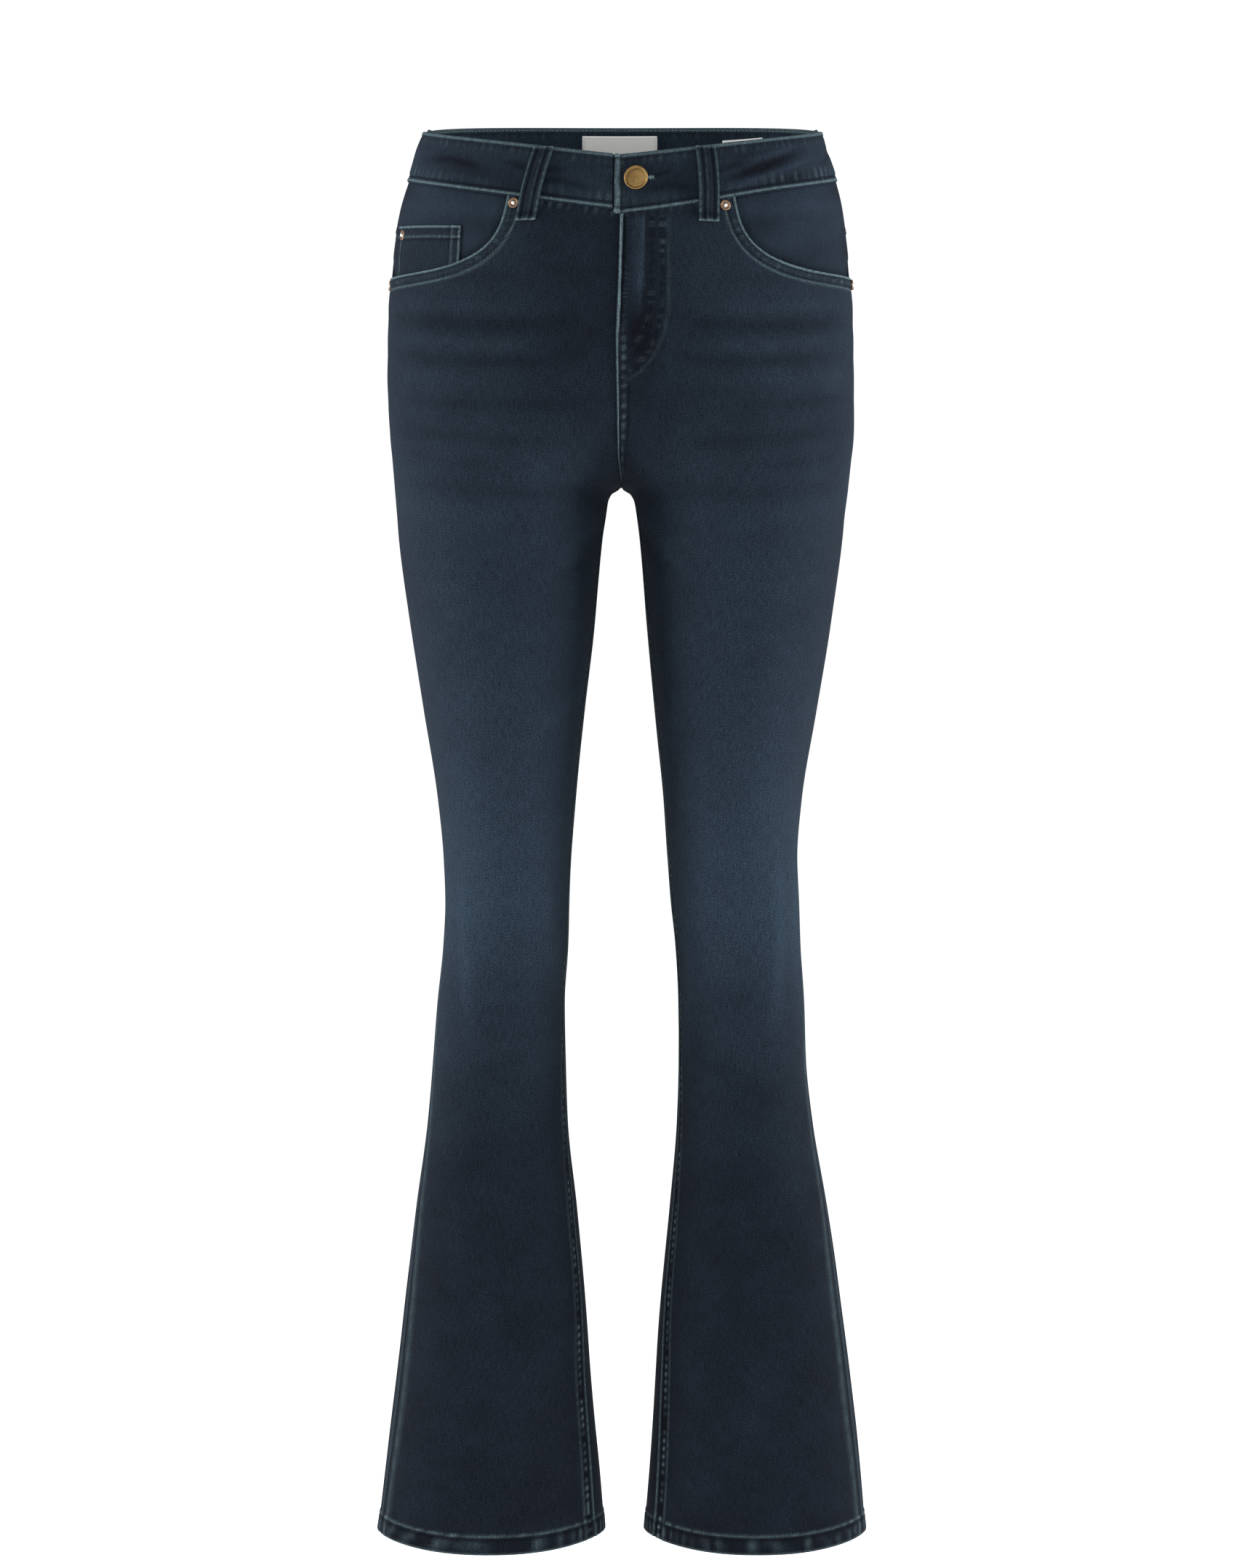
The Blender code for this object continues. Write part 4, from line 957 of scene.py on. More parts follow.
def back_pocket(side, paint):
    """A plain patch pocket: wider at its doubled mouth, with a pointed foot."""
    share, fall = dense_ends(40, 130.0, 1.3, 10), dense_ends(44, 138.0, 1.3, 10)[:, None]
    left_x, right_x = mix(35.5, 40.5, fall), mix(142.5, 138.5, fall)
    x = mix(left_x, right_x, share)
    top_z = mix(-127.5, -121.5, share)
    foot_z = np.interp(share, (0, 0.47, 1), (-237.0, -260.5, -231.0))
    z = mix(top_z, foot_z, fall)
    angle = angle_at(side, x, z, False)
    base, out = form(side, angle, z)
    across, from_right, down, from_low = measured(base)
    nearest = np.minimum(np.minimum(across, from_right), from_low)
    height = sway(base) + creases(base) + CLOTH + 0.5
    height += (0.3 * smooth((9.0 - nearest) / 1.6) - 0.3 * bump(nearest - 1.8, 0.8)
               - 0.35 * bump(nearest - 8.2, 0.9))
    height += 0.4 * smooth((13 - down) / 1.6) - 0.3 * bump(down - 13, 1.0)
    height += 0.2 * ripple(across + down, 6.0, 0.9) * bump(nearest - 4.5, 3.5)
    wear = 0.75 * bump(nearest - 0.7, 0.9) + 0.8 * bump(down - 0.7, 0.9) + 0.25 * bump(down - 12, 1.2)
    shade = 0.4 * bump(nearest - 1.9, 0.7) + 0.45 * bump(nearest - 8.3, 0.8) + 0.45 * bump(down - 13, 0.9)
    fade = table(BACK_WASH, z) + 0.04
    masks = (fade, unit(wear), unit(shade))
    make_cloth("back_pocket_" + side, base, out, height, masks, paint)


# ---------------------------------------------------------------- waist
UNDER = BAND_LIFT - BAND_THICK - 0.4
# The waistband's runs: kind, side, whether in front, shares from and to, lifts from and to, columns.
BAND_RUNS = (("tongue", "left", True, 0.89, 1.0, UNDER, UNDER, 20),
             ("tongue end", "right", True, 1.0, 0.9866, UNDER, UNDER, 4),
             ("rise", "right", True, 0.9866, 0.983, UNDER, BAND_LIFT, 5),
             ("front", "right", True, 0.983, 0.0, BAND_LIFT, BAND_LIFT, 120),
             ("back", "right", False, 0.0, 1.0, BAND_LIFT, BAND_LIFT, 110),
             ("back", "left", False, 1.0, 0.0, BAND_LIFT, BAND_LIFT, 110),
             ("overlap", "left", True, 0.0, 1.0, BAND_LIFT, BAND_LIFT, 120),
             ("overlap end", "right", True, 1.0, 1 - OVERLAP_END / 320, BAND_LIFT, BAND_LIFT + 0.1, 5))


def waistband(paint):
    """One strip from the button end under the overlap, round the back, to the buttonhole end."""
    fall = np.concatenate([[0, 0.012], np.linspace(0.035, 0.965, 26), [0.988, 1.0]])[:, None]
    bases, outs, lifts, overs = [], [], [], []
    for kind, side, front, u0, u1, lift0, lift1, count in BAND_RUNS:
        share = np.linspace(0, 1, count + 1)[(1 if bases else 0):]
        u = mix(u0, u1, share)
        top = edge(FRONT_TOP if front else BACK_TOP, u, "top")
        low = edge(FRONT_SEAM if front else BACK_SEAM, u, "seam")
        over_end = {"overlap": smooth((u - 0.5) / 0.47), "overlap end": 1.0}.get(kind, 0.0)
        z = mix(top, low - 2.0 - 3.2 * over_end, fall)
        angle = front_angle(u, z) if front else back_angle(u, z)
        bases.append(surface(side, angle, z))
        outs.append(normal(side, angle, z))
        lifts.append(np.broadcast_to(mix(lift0, lift1, smooth(share)), z.shape))
        overs.append(np.full(z.shape, 1.0 if kind == "tongue" else 0.0))
    base, out = np.concatenate(bases, axis=1), np.concatenate(outs, axis=1)
    lift, under = np.concatenate(lifts, axis=1), np.concatenate(overs, axis=1)
    across, down = lengths_along(base, 1), lengths_along(base, 0)
    across = np.broadcast_to(across[len(fall) // 2], across.shape)
    from_right, from_low = across[:, -1:] - across, down[-1:] - down
    facing = smooth((-base[..., 1] / MM - 10) / 25)
    slit = bump(down - 18.5 + 2.0 * unit((from_right - 30) / 11), 1.0)
    slit = slit * smooth((from_right - 29) / 2) * smooth((42 - from_right) / 2)
    crimp = ripple(across, 7.2, 0.3)
    seam_pucker = crimp * bump(from_low - 8.0, 4.0) * (0.55 + 0.45 * np.sin(across / 37 + 1.1))
    top_pucker = ripple(across, 6.1, 1.9) * bump(down - 5.5, 2.6)
    slack = 0.3 * np.sin(across / 19 + 1.3 * np.sin(across / 43) + down / 8.5)
    for path, width, depth in BAND_CREASES:
        away, walked = path_distance(from_right, down, path)
        slack += depth * bump(away, width) * (0.2 + 0.8 * smooth(walked / 0.3) * smooth((1 - walked) / 0.3))
    slack = slack * smooth(down / 7) * smooth(from_low / 8) * (1 - under)
    height = lift + 0.5 * seam_pucker + 0.25 * top_pucker + slack
    height += 0.45 * smooth((3.0 - from_low) / 0.8) - 0.65 * bump(from_low - 3.9, 0.8)
    height += 0.3 * smooth((2.8 - down) / 0.8) - 0.5 * bump(down - 3.6, 0.7)
    end_cord = (bump(from_right - 1.9 - 0.35 * np.sin(down / 4.3 + 0.6), 2.0)
                * (0.8 + 0.2 * ripple(down, 5.0, 0.4)))
    height += 0.6 * end_cord - 0.5 * bump(from_right - 4.7, 0.9) - 0.6 * slit
    wear = 0.85 * smooth((2.8 - from_low) / 0.6) * smooth(from_low / 0.5) * (0.82 + 0.18 * crimp)
    wear += 0.6 * smooth((2.8 - down) / 0.6) * (0.85 + 0.15 * ripple(across, 6.1, 1.9))
    wear += 0.9 * end_cord + 0.38 * unit(seam_pucker) + 0.2 * unit(top_pucker)
    shade = 0.95 * bump(from_low - 3.9, 1.0) + 0.35 * unit(-seam_pucker) + 0.85 * bump(down - 3.6, 0.8)
    shade += 0.9 * bump(from_right - 4.9, 1.2) + 0.9 * slit
    outer_end = smooth((np.abs(base[..., 0]) / MM - 105) / 55) * facing
    fade = 0.33 + 0.26 * slack + 0.06 * np.sin(across / 31) + 0.13 * outer_end
    masks = (fade, unit(wear) * (1 - under), unit(shade))
    make_cloth("waistband", base, out, height, masks, paint, thick=BAND_THICK, lining=LINING_FADE,
               edges=(across, from_right, down, from_low), weave=np.stack([across, down], axis=-1) * MM)


def belt_loop(name, paint, side, front, u_top, u_bottom):
    """A folded strip, sewn down on the waistband's top and under the waist seam, and free between."""
    top_line, seam_line = (FRONT_TOP, FRONT_SEAM) if front else (BACK_TOP, BACK_SEAM)
    angle_of = front_angle if front else back_angle
    top = float(edge(top_line, u_top, "top")) - 1.0
    seam = float(edge(seam_line, u_bottom, "seam"))
    sewn_top, sewn_low = BAND_LIFT + 0.5, 1.0
    path = ((top, sewn_top), (top - 5, sewn_top + 0.3), (top - 9, 2.9), (top - 16, 3.8),
            (mix(top, seam, 0.6), 4.0),
            (seam + 4, 3.6), (seam - 4, 2.6), (seam - 10, sewn_low + 0.3), (seam - 19.5, sewn_low))
    z = np.linspace(path[0][0], path[-1][0], 44)
    lift = np.interp(-z, [-p[0] for p in path], [p[1] for p in path])
    lift = np.convolve(np.pad(lift, 2, mode="edge"), [0.1, 0.2, 0.4, 0.2, 0.1], mode="valid")
    u = mix(u_top, u_bottom, (top - z) / (top - z[-1]))
    here = surface(side, angle_of(u, z), z)
    width_share = np.linalg.norm(surface(side, angle_of(u - 0.01, z), z) - here, axis=-1) / 0.01 / MM
    place = np.array([0, 0.12, 0.24, 0.36, 0.44, 0.5, 0.56, 0.66, 0.78, 0.88, 0.95, 1])
    place = np.concatenate([-place[:0:-1], place])
    u = u[:, None] + place * (LOOP_WIDTH / 2 / width_share)[:, None]
    z = np.broadcast_to(z[:, None], u.shape)
    angle = angle_of(u, z)
    base, out = form(side, angle, z)
    _, _, down, from_low = measured(base)
    across = np.broadcast_to(place * LOOP_WIDTH / 2, z.shape)
    rib = (0.3 * bump(np.abs(across) - 6.0, 1.1) + 0.3 * bump(across, 1.8)
           - 0.5 * bump(np.abs(across) - 3.6, 0.9))
    pinch = 0.16 * ripple(down + across * 0.3, 5.5, 1.0) * bump(np.abs(across) - 4.5, 2.0)
    tacks = -0.35 * (bump(from_low - 3.2, 1.2) + bump(down - 2.8, 1.2))
    height = lift[:, None] + LOOP_THICK + rib + pinch + tacks
    wear = (0.5 * bump(np.abs(across) - 6.7, 0.6) * (0.75 + 0.35 * ripple(down, 5.5, 1.0))
            + 0.7 * bump(down, 0.9))
    wear += 0.7 * bump(from_low, 0.9) + 0.22 * bump(across - 1.3, 0.9) * (0.6 + 0.4 * ripple(down, 9.0, 0.2))
    shade = (0.8 * bump(np.abs(across) - 3.6, 1.0) + 0.7 * bump(from_low - 4.4, 1.8)
             + 0.6 * bump(down - 3.0, 0.8))
    shade += 0.3 * bump(across + 0.3, 0.7)
    masks = (0.28, unit(wear), unit(shade))
    make_cloth("belt_loop_" + name, base, out, height, masks, paint, thick=LOOP_THICK)


def across_centre(x, z, front):
    """The form's places and ways out at distances to both sides of the centre line."""
    sides = [form(side, angle_at(side, np.abs(x[picked]), z[:, picked], front), z[:, picked])
             for side, picked in (("right", x < 0), ("left", x >= 0)) if picked.any()]
    return (np.concatenate(parts, axis=1) for parts in zip(*sides))


def fly_underlap(paint):
    x = np.linspace(-19, 19, 16)
    z = mix(-77.0, -197.0, np.linspace(0, 1, 40)[:, None]) + 0 * x
    base, out = across_centre(x, z, True)
    height = np.full(z.shape, -(CLOTH + 1.3))
    make_cloth("fly_underlap", base, out, height, (0.3, 0.0, 0.3), paint, slot="denim_inner")


def label(name, paint, x_from, x_to, top_z, height):
    """A bare woven label, sewn flat on the waistband's inner face, with a folded rim."""
    fall, x = np.linspace(0, 1, 26)[:, None], np.linspace(x_from, x_to, 44)
    z = top_z - fall * height + 0 * x
    base, out = across_centre(x, z, False)
    across, *others = measured(base)
    rim = np.minimum.reduce([across, *others])
    lift = BAND_LIFT - BAND_THICK - 0.75 + 0.12 * np.sin(across / 7) - 0.1 * smooth(rim / 2)
    masks = (0.0, 0.0, 0.25 * bump(rim - 1.6, 0.5))
    make_cloth(name, base, out, lift, masks, paint, thick=LABEL_THICK, slot="label_cloth")


# ---------------------------------------------------------------- shader groups and materials
def feed(tree, node, values):
    """Sets a node's inputs: a term or a socket is linked, anything else is its plain value."""
    for key, value in values.items():
        value = value.socket if isinstance(value, Term) else value
        if isinstance(value, bpy.types.NodeSocket):
            tree.links.new(value, node.inputs[key])
        else:
            node.inputs[key].default_value = value


def add(tree, kind, values=None, **settings):
    """A node with its settings and its inputs."""
    made = tree.nodes.new(kind)
    for key, value in settings.items():
        setattr(made, key, value)
    feed(tree, made, values or {})
    return made


class Term:
    """A socket to reckon with: every operation adds a math node to its tree."""
    def __init__(self, tree, socket):
        self.tree, self.socket = tree, socket

    def act(self, operation, *others):
        made = add(self.tree, "ShaderNodeMath", dict(enumerate((self, *others))), operation=operation)
        return Term(self.tree, made.outputs[0])

    def __add__(self, other):
        return self.act("ADD", other)

    def __sub__(self, other):
        return self.act("SUBTRACT", other)

    def __mul__(self, other):
        return self.act("MULTIPLY", other)

    def __truediv__(self, other):
        return self.act("DIVIDE", other)


def new_group(name, inputs, outputs):
    """A shader group, its inputs as terms by name, and its output node."""
    group = bpy.data.node_groups.new(name, "ShaderNodeTree")
    for key, kind, value in inputs:
        socket = group.interface.new_socket(key, in_out="INPUT", socket_type="NodeSocket" + kind)
        if value is not None:
            socket.default_value = value
    for key, kind in outputs:
        group.interface.new_socket(key, in_out="OUTPUT", socket_type="NodeSocket" + kind)
    given = group.nodes.new("NodeGroupInput")
    terms = {key: Term(group, given.outputs[key]) for key, _, _ in inputs}
    return group, terms, group.nodes.new("NodeGroupOutput")


def noise(tree, vector, scale, detail=2.0, **more):
    made = add(tree, "ShaderNodeTexNoise", {"Vector": vector, "Scale": scale, "Detail": detail, **more})
    return Term(tree, made.outputs["Fac"])


def blend(tree, share, first, second):
    """A colour between two."""
    made = add(tree, "ShaderNodeMix", {"Factor": share, "A": first, "B": second}, data_type="RGBA")
    return made.outputs["Result"]


def relief(tree, height, strength, distance):
    values = {"Strength": strength, "Distance": distance, "Height": height}
    return add(tree, "ShaderNodeBump", values).outputs["Normal"]


def mask(tree, name):
    return add(tree, "ShaderNodeAttribute", attribute_name=name, attribute_type="GEOMETRY").outputs["Fac"]


def own_place(tree):
    return add(tree, "ShaderNodeTexCoord").outputs["Object"]


def twill_group():
    """Twill ridges, uneven yarns and slubs on the cloth map, in metres: a tone about 1 and a height."""
    group, given, taken = new_group(
        "denim_twill", (("Cloth map", "Vector", None), ("Ridge pitch", "Float", 0.0009),
                        ("Contrast", "Float", 1.0)),
        (("Tone", "Float"), ("Height", "Float")))
    place = given["Cloth map"]
    parts = add(group, "ShaderNodeSeparateXYZ", {0: place})
    across, down = (Term(group, parts.outputs[k]) for k in (0, 1))
    shifted = across * 0.90 + down * 0.44 + noise(group, place, 260.0) * 0.0006
    ridge = (shifted / given["Ridge pitch"] * (2 * math.pi)).act("SINE") * 0.5
    warp = add(group, "ShaderNodeCombineXYZ", {0: across * 1500.0, 1: down * 110.0})
    weft = add(group, "ShaderNodeCombineXYZ", {0: across * 330.0, 1: down * 1500.0})
    yarn = noise(group, warp.outputs[0], 1.0) - 0.5 + (noise(group, weft.outputs[0], 1.0) - 0.5) * 0.7
    grain = noise(group, place, 1350.0, Roughness=0.7)
    flecks = (grain - 0.60).act("MAXIMUM", 0.0) * 12.0
    spread = yarn * 1.15 + (grain - 0.5) * 2.8 + flecks + ridge * 0.22
    tone = spread * given["Contrast"] + 1.0
    feed(group, taken, {"Tone": tone.act("MAXIMUM", 0.15), "Height": ridge * 0.6 + yarn * 0.8})
    return group


def wash_group():
    """Indigo from dark to faded, cloudy by nature, with worn edges, and painted shade darkening the sunk
    lines.
    """
    group, given, taken = new_group("indigo_wash", (
        ("Place", "Vector", None), ("Fade", "Float", 0.4), ("Wear", "Float", 0.0), ("Shade", "Float", 0.0),
        ("Tone", "Float", 1.0), ("Dark", "Color", (0.0044, 0.0053, 0.0090, 1)),
        ("Faded", "Color", (0.0222, 0.0365, 0.0545, 1)), ("Worn", "Color", (0.125, 0.185, 0.205, 1))),
        (("Colour", "Color"),))
    cloud = (noise(group, given["Place"], 26.0, 4.0, Roughness=0.6) - 0.5) * 0.34
    fade = (given["Fade"] + cloud).act("MAXIMUM", 0.0).act("MINIMUM", 1.0)
    dye_and_painted_shade = blend(group, fade, given["Dark"], given["Faded"])
    broken = given["Wear"] * (noise(group, given["Place"], 420.0) * 0.75 + 0.35)
    worn = blend(group, broken.act("MINIMUM", 1.0), dye_and_painted_shade, given["Worn"])
    # the Shade mask darkens the colour: painted shade in grooves, channels and under edges
    tone_and_painted_shade = given["Tone"] * (given["Shade"] * -0.62 + 1.0)
    final = add(group, "ShaderNodeVectorMath", {0: worn, "Scale": tone_and_painted_shade}, operation="SCALE")
    feed(group, taken, {"Colour": final.outputs[0]})
    return group


def new_material(name, roughness, metallic=0.0):
    made = bpy.data.materials.new(name)
    made.use_nodes = True
    shader = made.node_tree.nodes["Principled BSDF"]
    feed(made.node_tree, shader, {"Roughness": roughness, "Metallic": metallic})
    return made, made.node_tree, shader


def denim(name, twill, indigo, contrast=1.0, **colours):
    made, tree, shader = new_material(name, 0.92)
    cloth_map = add(tree, "ShaderNodeUVMap", uv_map="cloth").outputs["UV"]
    weave = add(tree, "ShaderNodeGroup", {"Contrast": contrast, "Cloth map": cloth_map}, node_tree=twill)
    values = {"Place": own_place(tree), "Tone": weave.outputs["Tone"]}
    values.update({key.capitalize(): mask(tree, key) for key in MASKS})
    values.update({key: (*colour, 1.0) for key, colour in colours.items()})
    dye_and_painted_shade = add(tree, "ShaderNodeGroup", values, node_tree=indigo)
    feed(tree, shader, {
        "Base Color": dye_and_painted_shade.outputs["Colour"], "Normal": relief(tree, weave.outputs["Height"], 0.35, 0.0004),
        "Specular IOR Level": 0.05, "Sheen Weight": 0.02, "Sheen Roughness": 0.5,
        "Sheen Tint": (0.55, 0.68, 0.85, 1.0)})
    return made


def label_cloth():
    made, tree, shader = new_material("label_white_satin", 0.6)
    cloth_map = add(tree, "ShaderNodeUVMap", uv_map="cloth").outputs["UV"]
    ribs = add(tree, "ShaderNodeTexWave", {"Vector": cloth_map, "Scale": 520.0, "Distortion": 0.4},
               bands_direction="Y")
    colour = blend(tree, mask(tree, "shade"), (0.86, 0.86, 0.84, 1), (0.35, 0.36, 0.38, 1))
    feed(tree, shader, {"Base Color": colour, "Normal": relief(tree, ribs.outputs["Fac"], 0.12, 0.0002)})
    return made


def metal(name, bright, dull, roughness):
    """Aged metal: dull and brighter in patches, with scratches in its roughness."""
    made, tree, shader = new_material(name, roughness, metallic=1.0)
    place = own_place(tree)
    patches, scratches = noise(tree, place, 420.0, 4.0), noise(tree, place, 2600.0)
    feed(tree, shader, {"Base Color": blend(tree, patches, (*bright, 1), (*dull, 1)),
                        "Roughness": scratches * 0.28 + (roughness - 0.12),
                        "Normal": relief(tree, patches, 0.25, 0.00012)})
    return made


def thread_material(name, colour):
    made, tree, shader = new_material(name, 0.9)
    lit = tuple(min(1.0, c * 1.9) for c in colour)
    twist = blend(tree, noise(tree, own_place(tree), 1500.0), (*colour, 1), (*lit, 1))
    feed(tree, shader, {"Base Color": twist, "Specular IOR Level": 0.05})
    return made


# ---------------------------------------------------------------- stitches
def stitch_tree():
    """Stitches as small flattened beads along the given lines, set by the "out" direction of each point."""
    tree = bpy.data.node_groups.new("sewn_rows", "GeometryNodeTree")
    tree.interface.new_socket("Geometry", in_out="INPUT", socket_type="NodeSocketGeometry")
    for name in ("Pitch", "Stitch length", "Thread width", "Thread height"):
        tree.interface.new_socket(name, in_out="INPUT", socket_type="NodeSocketFloat")
    tree.interface.new_socket("Thread", in_out="INPUT", socket_type="NodeSocketMaterial")
    tree.interface.new_socket("Geometry", in_out="OUTPUT", socket_type="NodeSocketGeometry")
    given, taken = tree.nodes.new("NodeGroupInput"), tree.nodes.new("NodeGroupOutput")
    line = add(tree, "GeometryNodeMeshToCurve", {"Mesh": given.outputs["Geometry"]})
    spaced = add(tree, "GeometryNodeResampleCurve",
                 {"Curve": line.outputs[0], "Length": given.outputs["Pitch"]},
                 mode="LENGTH")
    bead = add(tree, "GeometryNodeMeshUVSphere", {"Segments": 6, "Rings": 4, "Radius": 0.5})
    size = add(tree, "ShaderNodeCombineXYZ",
               {0: given.outputs["Stitch length"], 1: given.outputs["Thread width"],
                                              2: given.outputs["Thread height"]})
    shaped = add(tree, "GeometryNodeTransform",
                 {"Geometry": bead.outputs[0], "Rotation": (0, math.pi / 2, 0)})
    sized = add(tree, "GeometryNodeTransform", {"Geometry": shaped.outputs[0], "Scale": size.outputs[0]})
    tangent = tree.nodes.new("GeometryNodeInputTangent")
    out = add(tree, "GeometryNodeInputNamedAttribute", {"Name": "out"}, data_type="FLOAT_VECTOR")
    ahead = add(tree, "FunctionNodeAlignRotationToVector", {"Vector": tangent.outputs[0]}, axis="X")
    upright = add(tree, "FunctionNodeAlignRotationToVector",
                  {"Rotation": ahead.outputs[0], "Vector": out.outputs["Attribute"]}, axis="Z",
                  pivot_axis="X")
    set_down = add(tree, "GeometryNodeInstanceOnPoints",
                   {"Points": spaced.outputs[0], "Instance": sized.outputs[0],
                    "Rotation": upright.outputs[0]})
    real = add(tree, "GeometryNodeRealizeInstances", {"Geometry": set_down.outputs[0]})
    smoothed = add(tree, "GeometryNodeSetShadeSmooth", {"Geometry": real.outputs[0]})
    painted = add(tree, "GeometryNodeSetMaterial",
                  {"Geometry": smoothed.outputs[0], "Material": given.outputs["Thread"]})
    feed(tree, taken, {0: painted.outputs[0]})
    return tree


def lines_object(name, lines):
    """Lines of (points, out directions) as one object of edges."""
    points = np.concatenate([p for p, _ in lines])
    outs = np.concatenate([o for _, o in lines])
    edges, start = [], 0
    for p, _ in lines:
        edges += [(start + k, start + k + 1) for k in range(len(p) - 1)]
        start += len(p)
    mesh = bpy.data.meshes.new(name)
    mesh.from_pydata(points.tolist(), edges, [])
    layer = mesh.attributes.new("out", "FLOAT_VECTOR", "POINT")
    layer.data.foreach_set("vector", outs.astype(np.float32).ravel())
    return put(name, mesh)


def sew(name, tree, lines, thread, slot, pitch=STITCH_PITCH, length=STITCH_LENGTH, width=THREAD,
        height=THREAD * 0.7):
    """Runs the stitch tree over lines, and keeps the result as a plain mesh."""
    source = lines_object(name + "_rows", lines)
    modifier = source.modifiers.new("sewn rows", "NODES")
    modifier.node_group = tree
    sockets = {item.name: item.identifier for item in tree.interface.items_tree if item.in_out == "INPUT"}
    for key, value in (("Pitch", pitch), ("Stitch length", length), ("Thread width", width),
                       ("Thread height", height)):
        modifier[sockets[key]] = value * MM
    modifier[sockets["Thread"]] = thread
    graph = bpy.context.evaluated_depsgraph_get()
    mesh = bpy.data.meshes.new_from_object(source.evaluated_get(graph))
    bpy.data.objects.remove(source, do_unlink=True)
    declare(put(name, mesh), slot)


def settle(points, node, lift=0.15):
    """Sets points down on a piece's outer face, and gives the way out of the cloth at each."""
    tree = PIECES[node][2]
    hits = [tree.find_nearest(Vector(point)) for point in points]
    placed, outs = (np.array([hit[k] for hit in hits]) for k in (0, 1))
    return placed + outs * lift * MM, outs


def edge_line(node, key, distance, rows=slice(None), trim=0):
    """The line on a piece's outer face at a distance from an edge: "across" from its first column, "right"
    from its last, "down" from its first row and "low" from its last. Points can be trimmed off its ends."""
    outer, edges, _ = PIECES[node]
    away = edges[key][rows]
    outer = outer[rows, :away.shape[1]]
    if key in ("down", "low"):
        outer, away = outer.transpose(1, 0, 2), away.T
    if key in ("right", "low"):
        outer, away = outer[:, ::-1], away[:, ::-1]
    line = [[np.interp(distance, near, face[:, k]) for k in range(3)] for near, face in zip(away, outer)]
    return settle(np.array(line)[trim:len(line) - trim], node)


def mouth_edge(side):
    u, z = mouth_curve(120)
    angle = front_angle(u, z)
    return form(side, angle, z)


def beside(line_and_out, distance):
    """A line moved sideways along the cloth, towards the fly and down, by a distance in mm."""
    line, out = line_and_out
    along = np.gradient(line, axis=0)
    along /= np.linalg.norm(along, axis=-1, keepdims=True)
    sideways = np.cross(along, out)
    if sideways[-1, 2] > 0:
        sideways = -sideways
    return (line + sideways * distance * MM)[2:-1]


# ---------------------------------------------------------------- metal trim
def lathe(profile, centre, axis, sides):
    """Points and quads of a round piece turned about an axis. The profile is (radius, height) rows in mm."""
    axis = Vector(axis).normalized()
    across = axis.cross(Vector((0, 0, 1))).normalized()
    up = across.cross(axis)
    places, faces = [], []
    for radius, height in profile:
        for k in range(sides):
            turn = 2 * math.pi * k / sides
            spoke = across * math.cos(turn) + up * math.sin(turn)
            places.append(Vector(centre) + axis * height * MM + spoke * radius * MM)
    for ring in range(len(profile) - 1):
        for k in range(sides):
            after = (k + 1) % sides
            faces.append((ring * sides + k, ring * sides + after, (ring + 1) * sides + after,
                          (ring + 1) * sides + k))
    last = (len(profile) - 1) * sides
    for k in range(sides // 2 - 1):
        cap = (k, k + 1, sides - 2 - k, sides - 1 - k)
        faces.append(cap[::-1])
        faces.append(tuple(last + c for c in cap))
    return np.array(places), np.array(faces)


def waist_button(paint):
    """A domed ring round a sunk, slightly domed bare face, on its shank."""
    centre, axis = form("left", front_angle(BUTTON_U, BUTTON_Z), BUTTON_Z)
    axis = axis * np.array([1.0, 1.0, BUTTON_LEVEL]) - np.array([BUTTON_TURN, 0.0, 0.0])
    face = BAND_LIFT + 1.9
    tip = 0.02
    profile = [(tip, UNDER + 0.4), (1.4, UNDER + 0.4), (1.4, face - 0.1), (7.6, face - 0.1),
               (8.3, face + 0.2),
               (8.6, face + 0.8), (8.6, face + 1.5)]
    profile += [(8.6 - 0.75 * (1 - math.cos(t)), face + 1.5 + 0.75 * math.sin(t))
                for t in np.linspace(0.2, math.pi - 0.2, 9)]
    profile += [(6.95, face + 1.25), (6.6, face + 1.25), (6.3, face + 1.4), (4.0, face + 1.7),
                (2.0, face + 1.82),
                (tip, face + 1.85)]
    profile = [(radius * (BUTTON_SCALE if radius > 1.4 else 1.0), height) for radius, height in profile]
    places, faces = lathe(profile, centre, axis, 56)
    made = mesh_object("waist_button_metal", places, faces)
    made.data.materials.append(paint)
    declare(made, "button_brass", "waist_button")


def rivets(paint, nipple_paint, places):
    """Five rivets: a rolled rim, a sunk ring and a bright centre nipple."""
    profile = [(0.02, -0.5), (3.9, -0.5), (4.15, -0.1), (4.15, 0.35), (3.9, 0.8), (3.45, 1.0), (3.0, 0.9),
               (2.5, 0.6),
               (2.0, 0.55), (1.55, 0.7), (1.35, 1.3), (1.0, 1.75), (0.5, 1.95), (0.02, 2.0)]
    points, faces, start = [], [], 0
    for centre, axis in places:
        p, f = lathe(profile, centre, axis, RIVET_SIDES)
        points.append(p)
        faces.append(f + start)
        start += len(p)
    made = mesh_object("pocket_rivets", np.concatenate(points), np.concatenate(faces))
    made.data.materials.append(paint)
    made.data.materials.append(nipple_paint)
    ring = (np.arange(len(made.data.polygons)) % len(faces[0])) // RIVET_SIDES
    made.data.polygons.foreach_set("material_index", (ring >= len(profile) - 5).astype(np.int32))
    declare(made, "rivet_copper", *["rivet_" + row[0] for row in RIVETS])


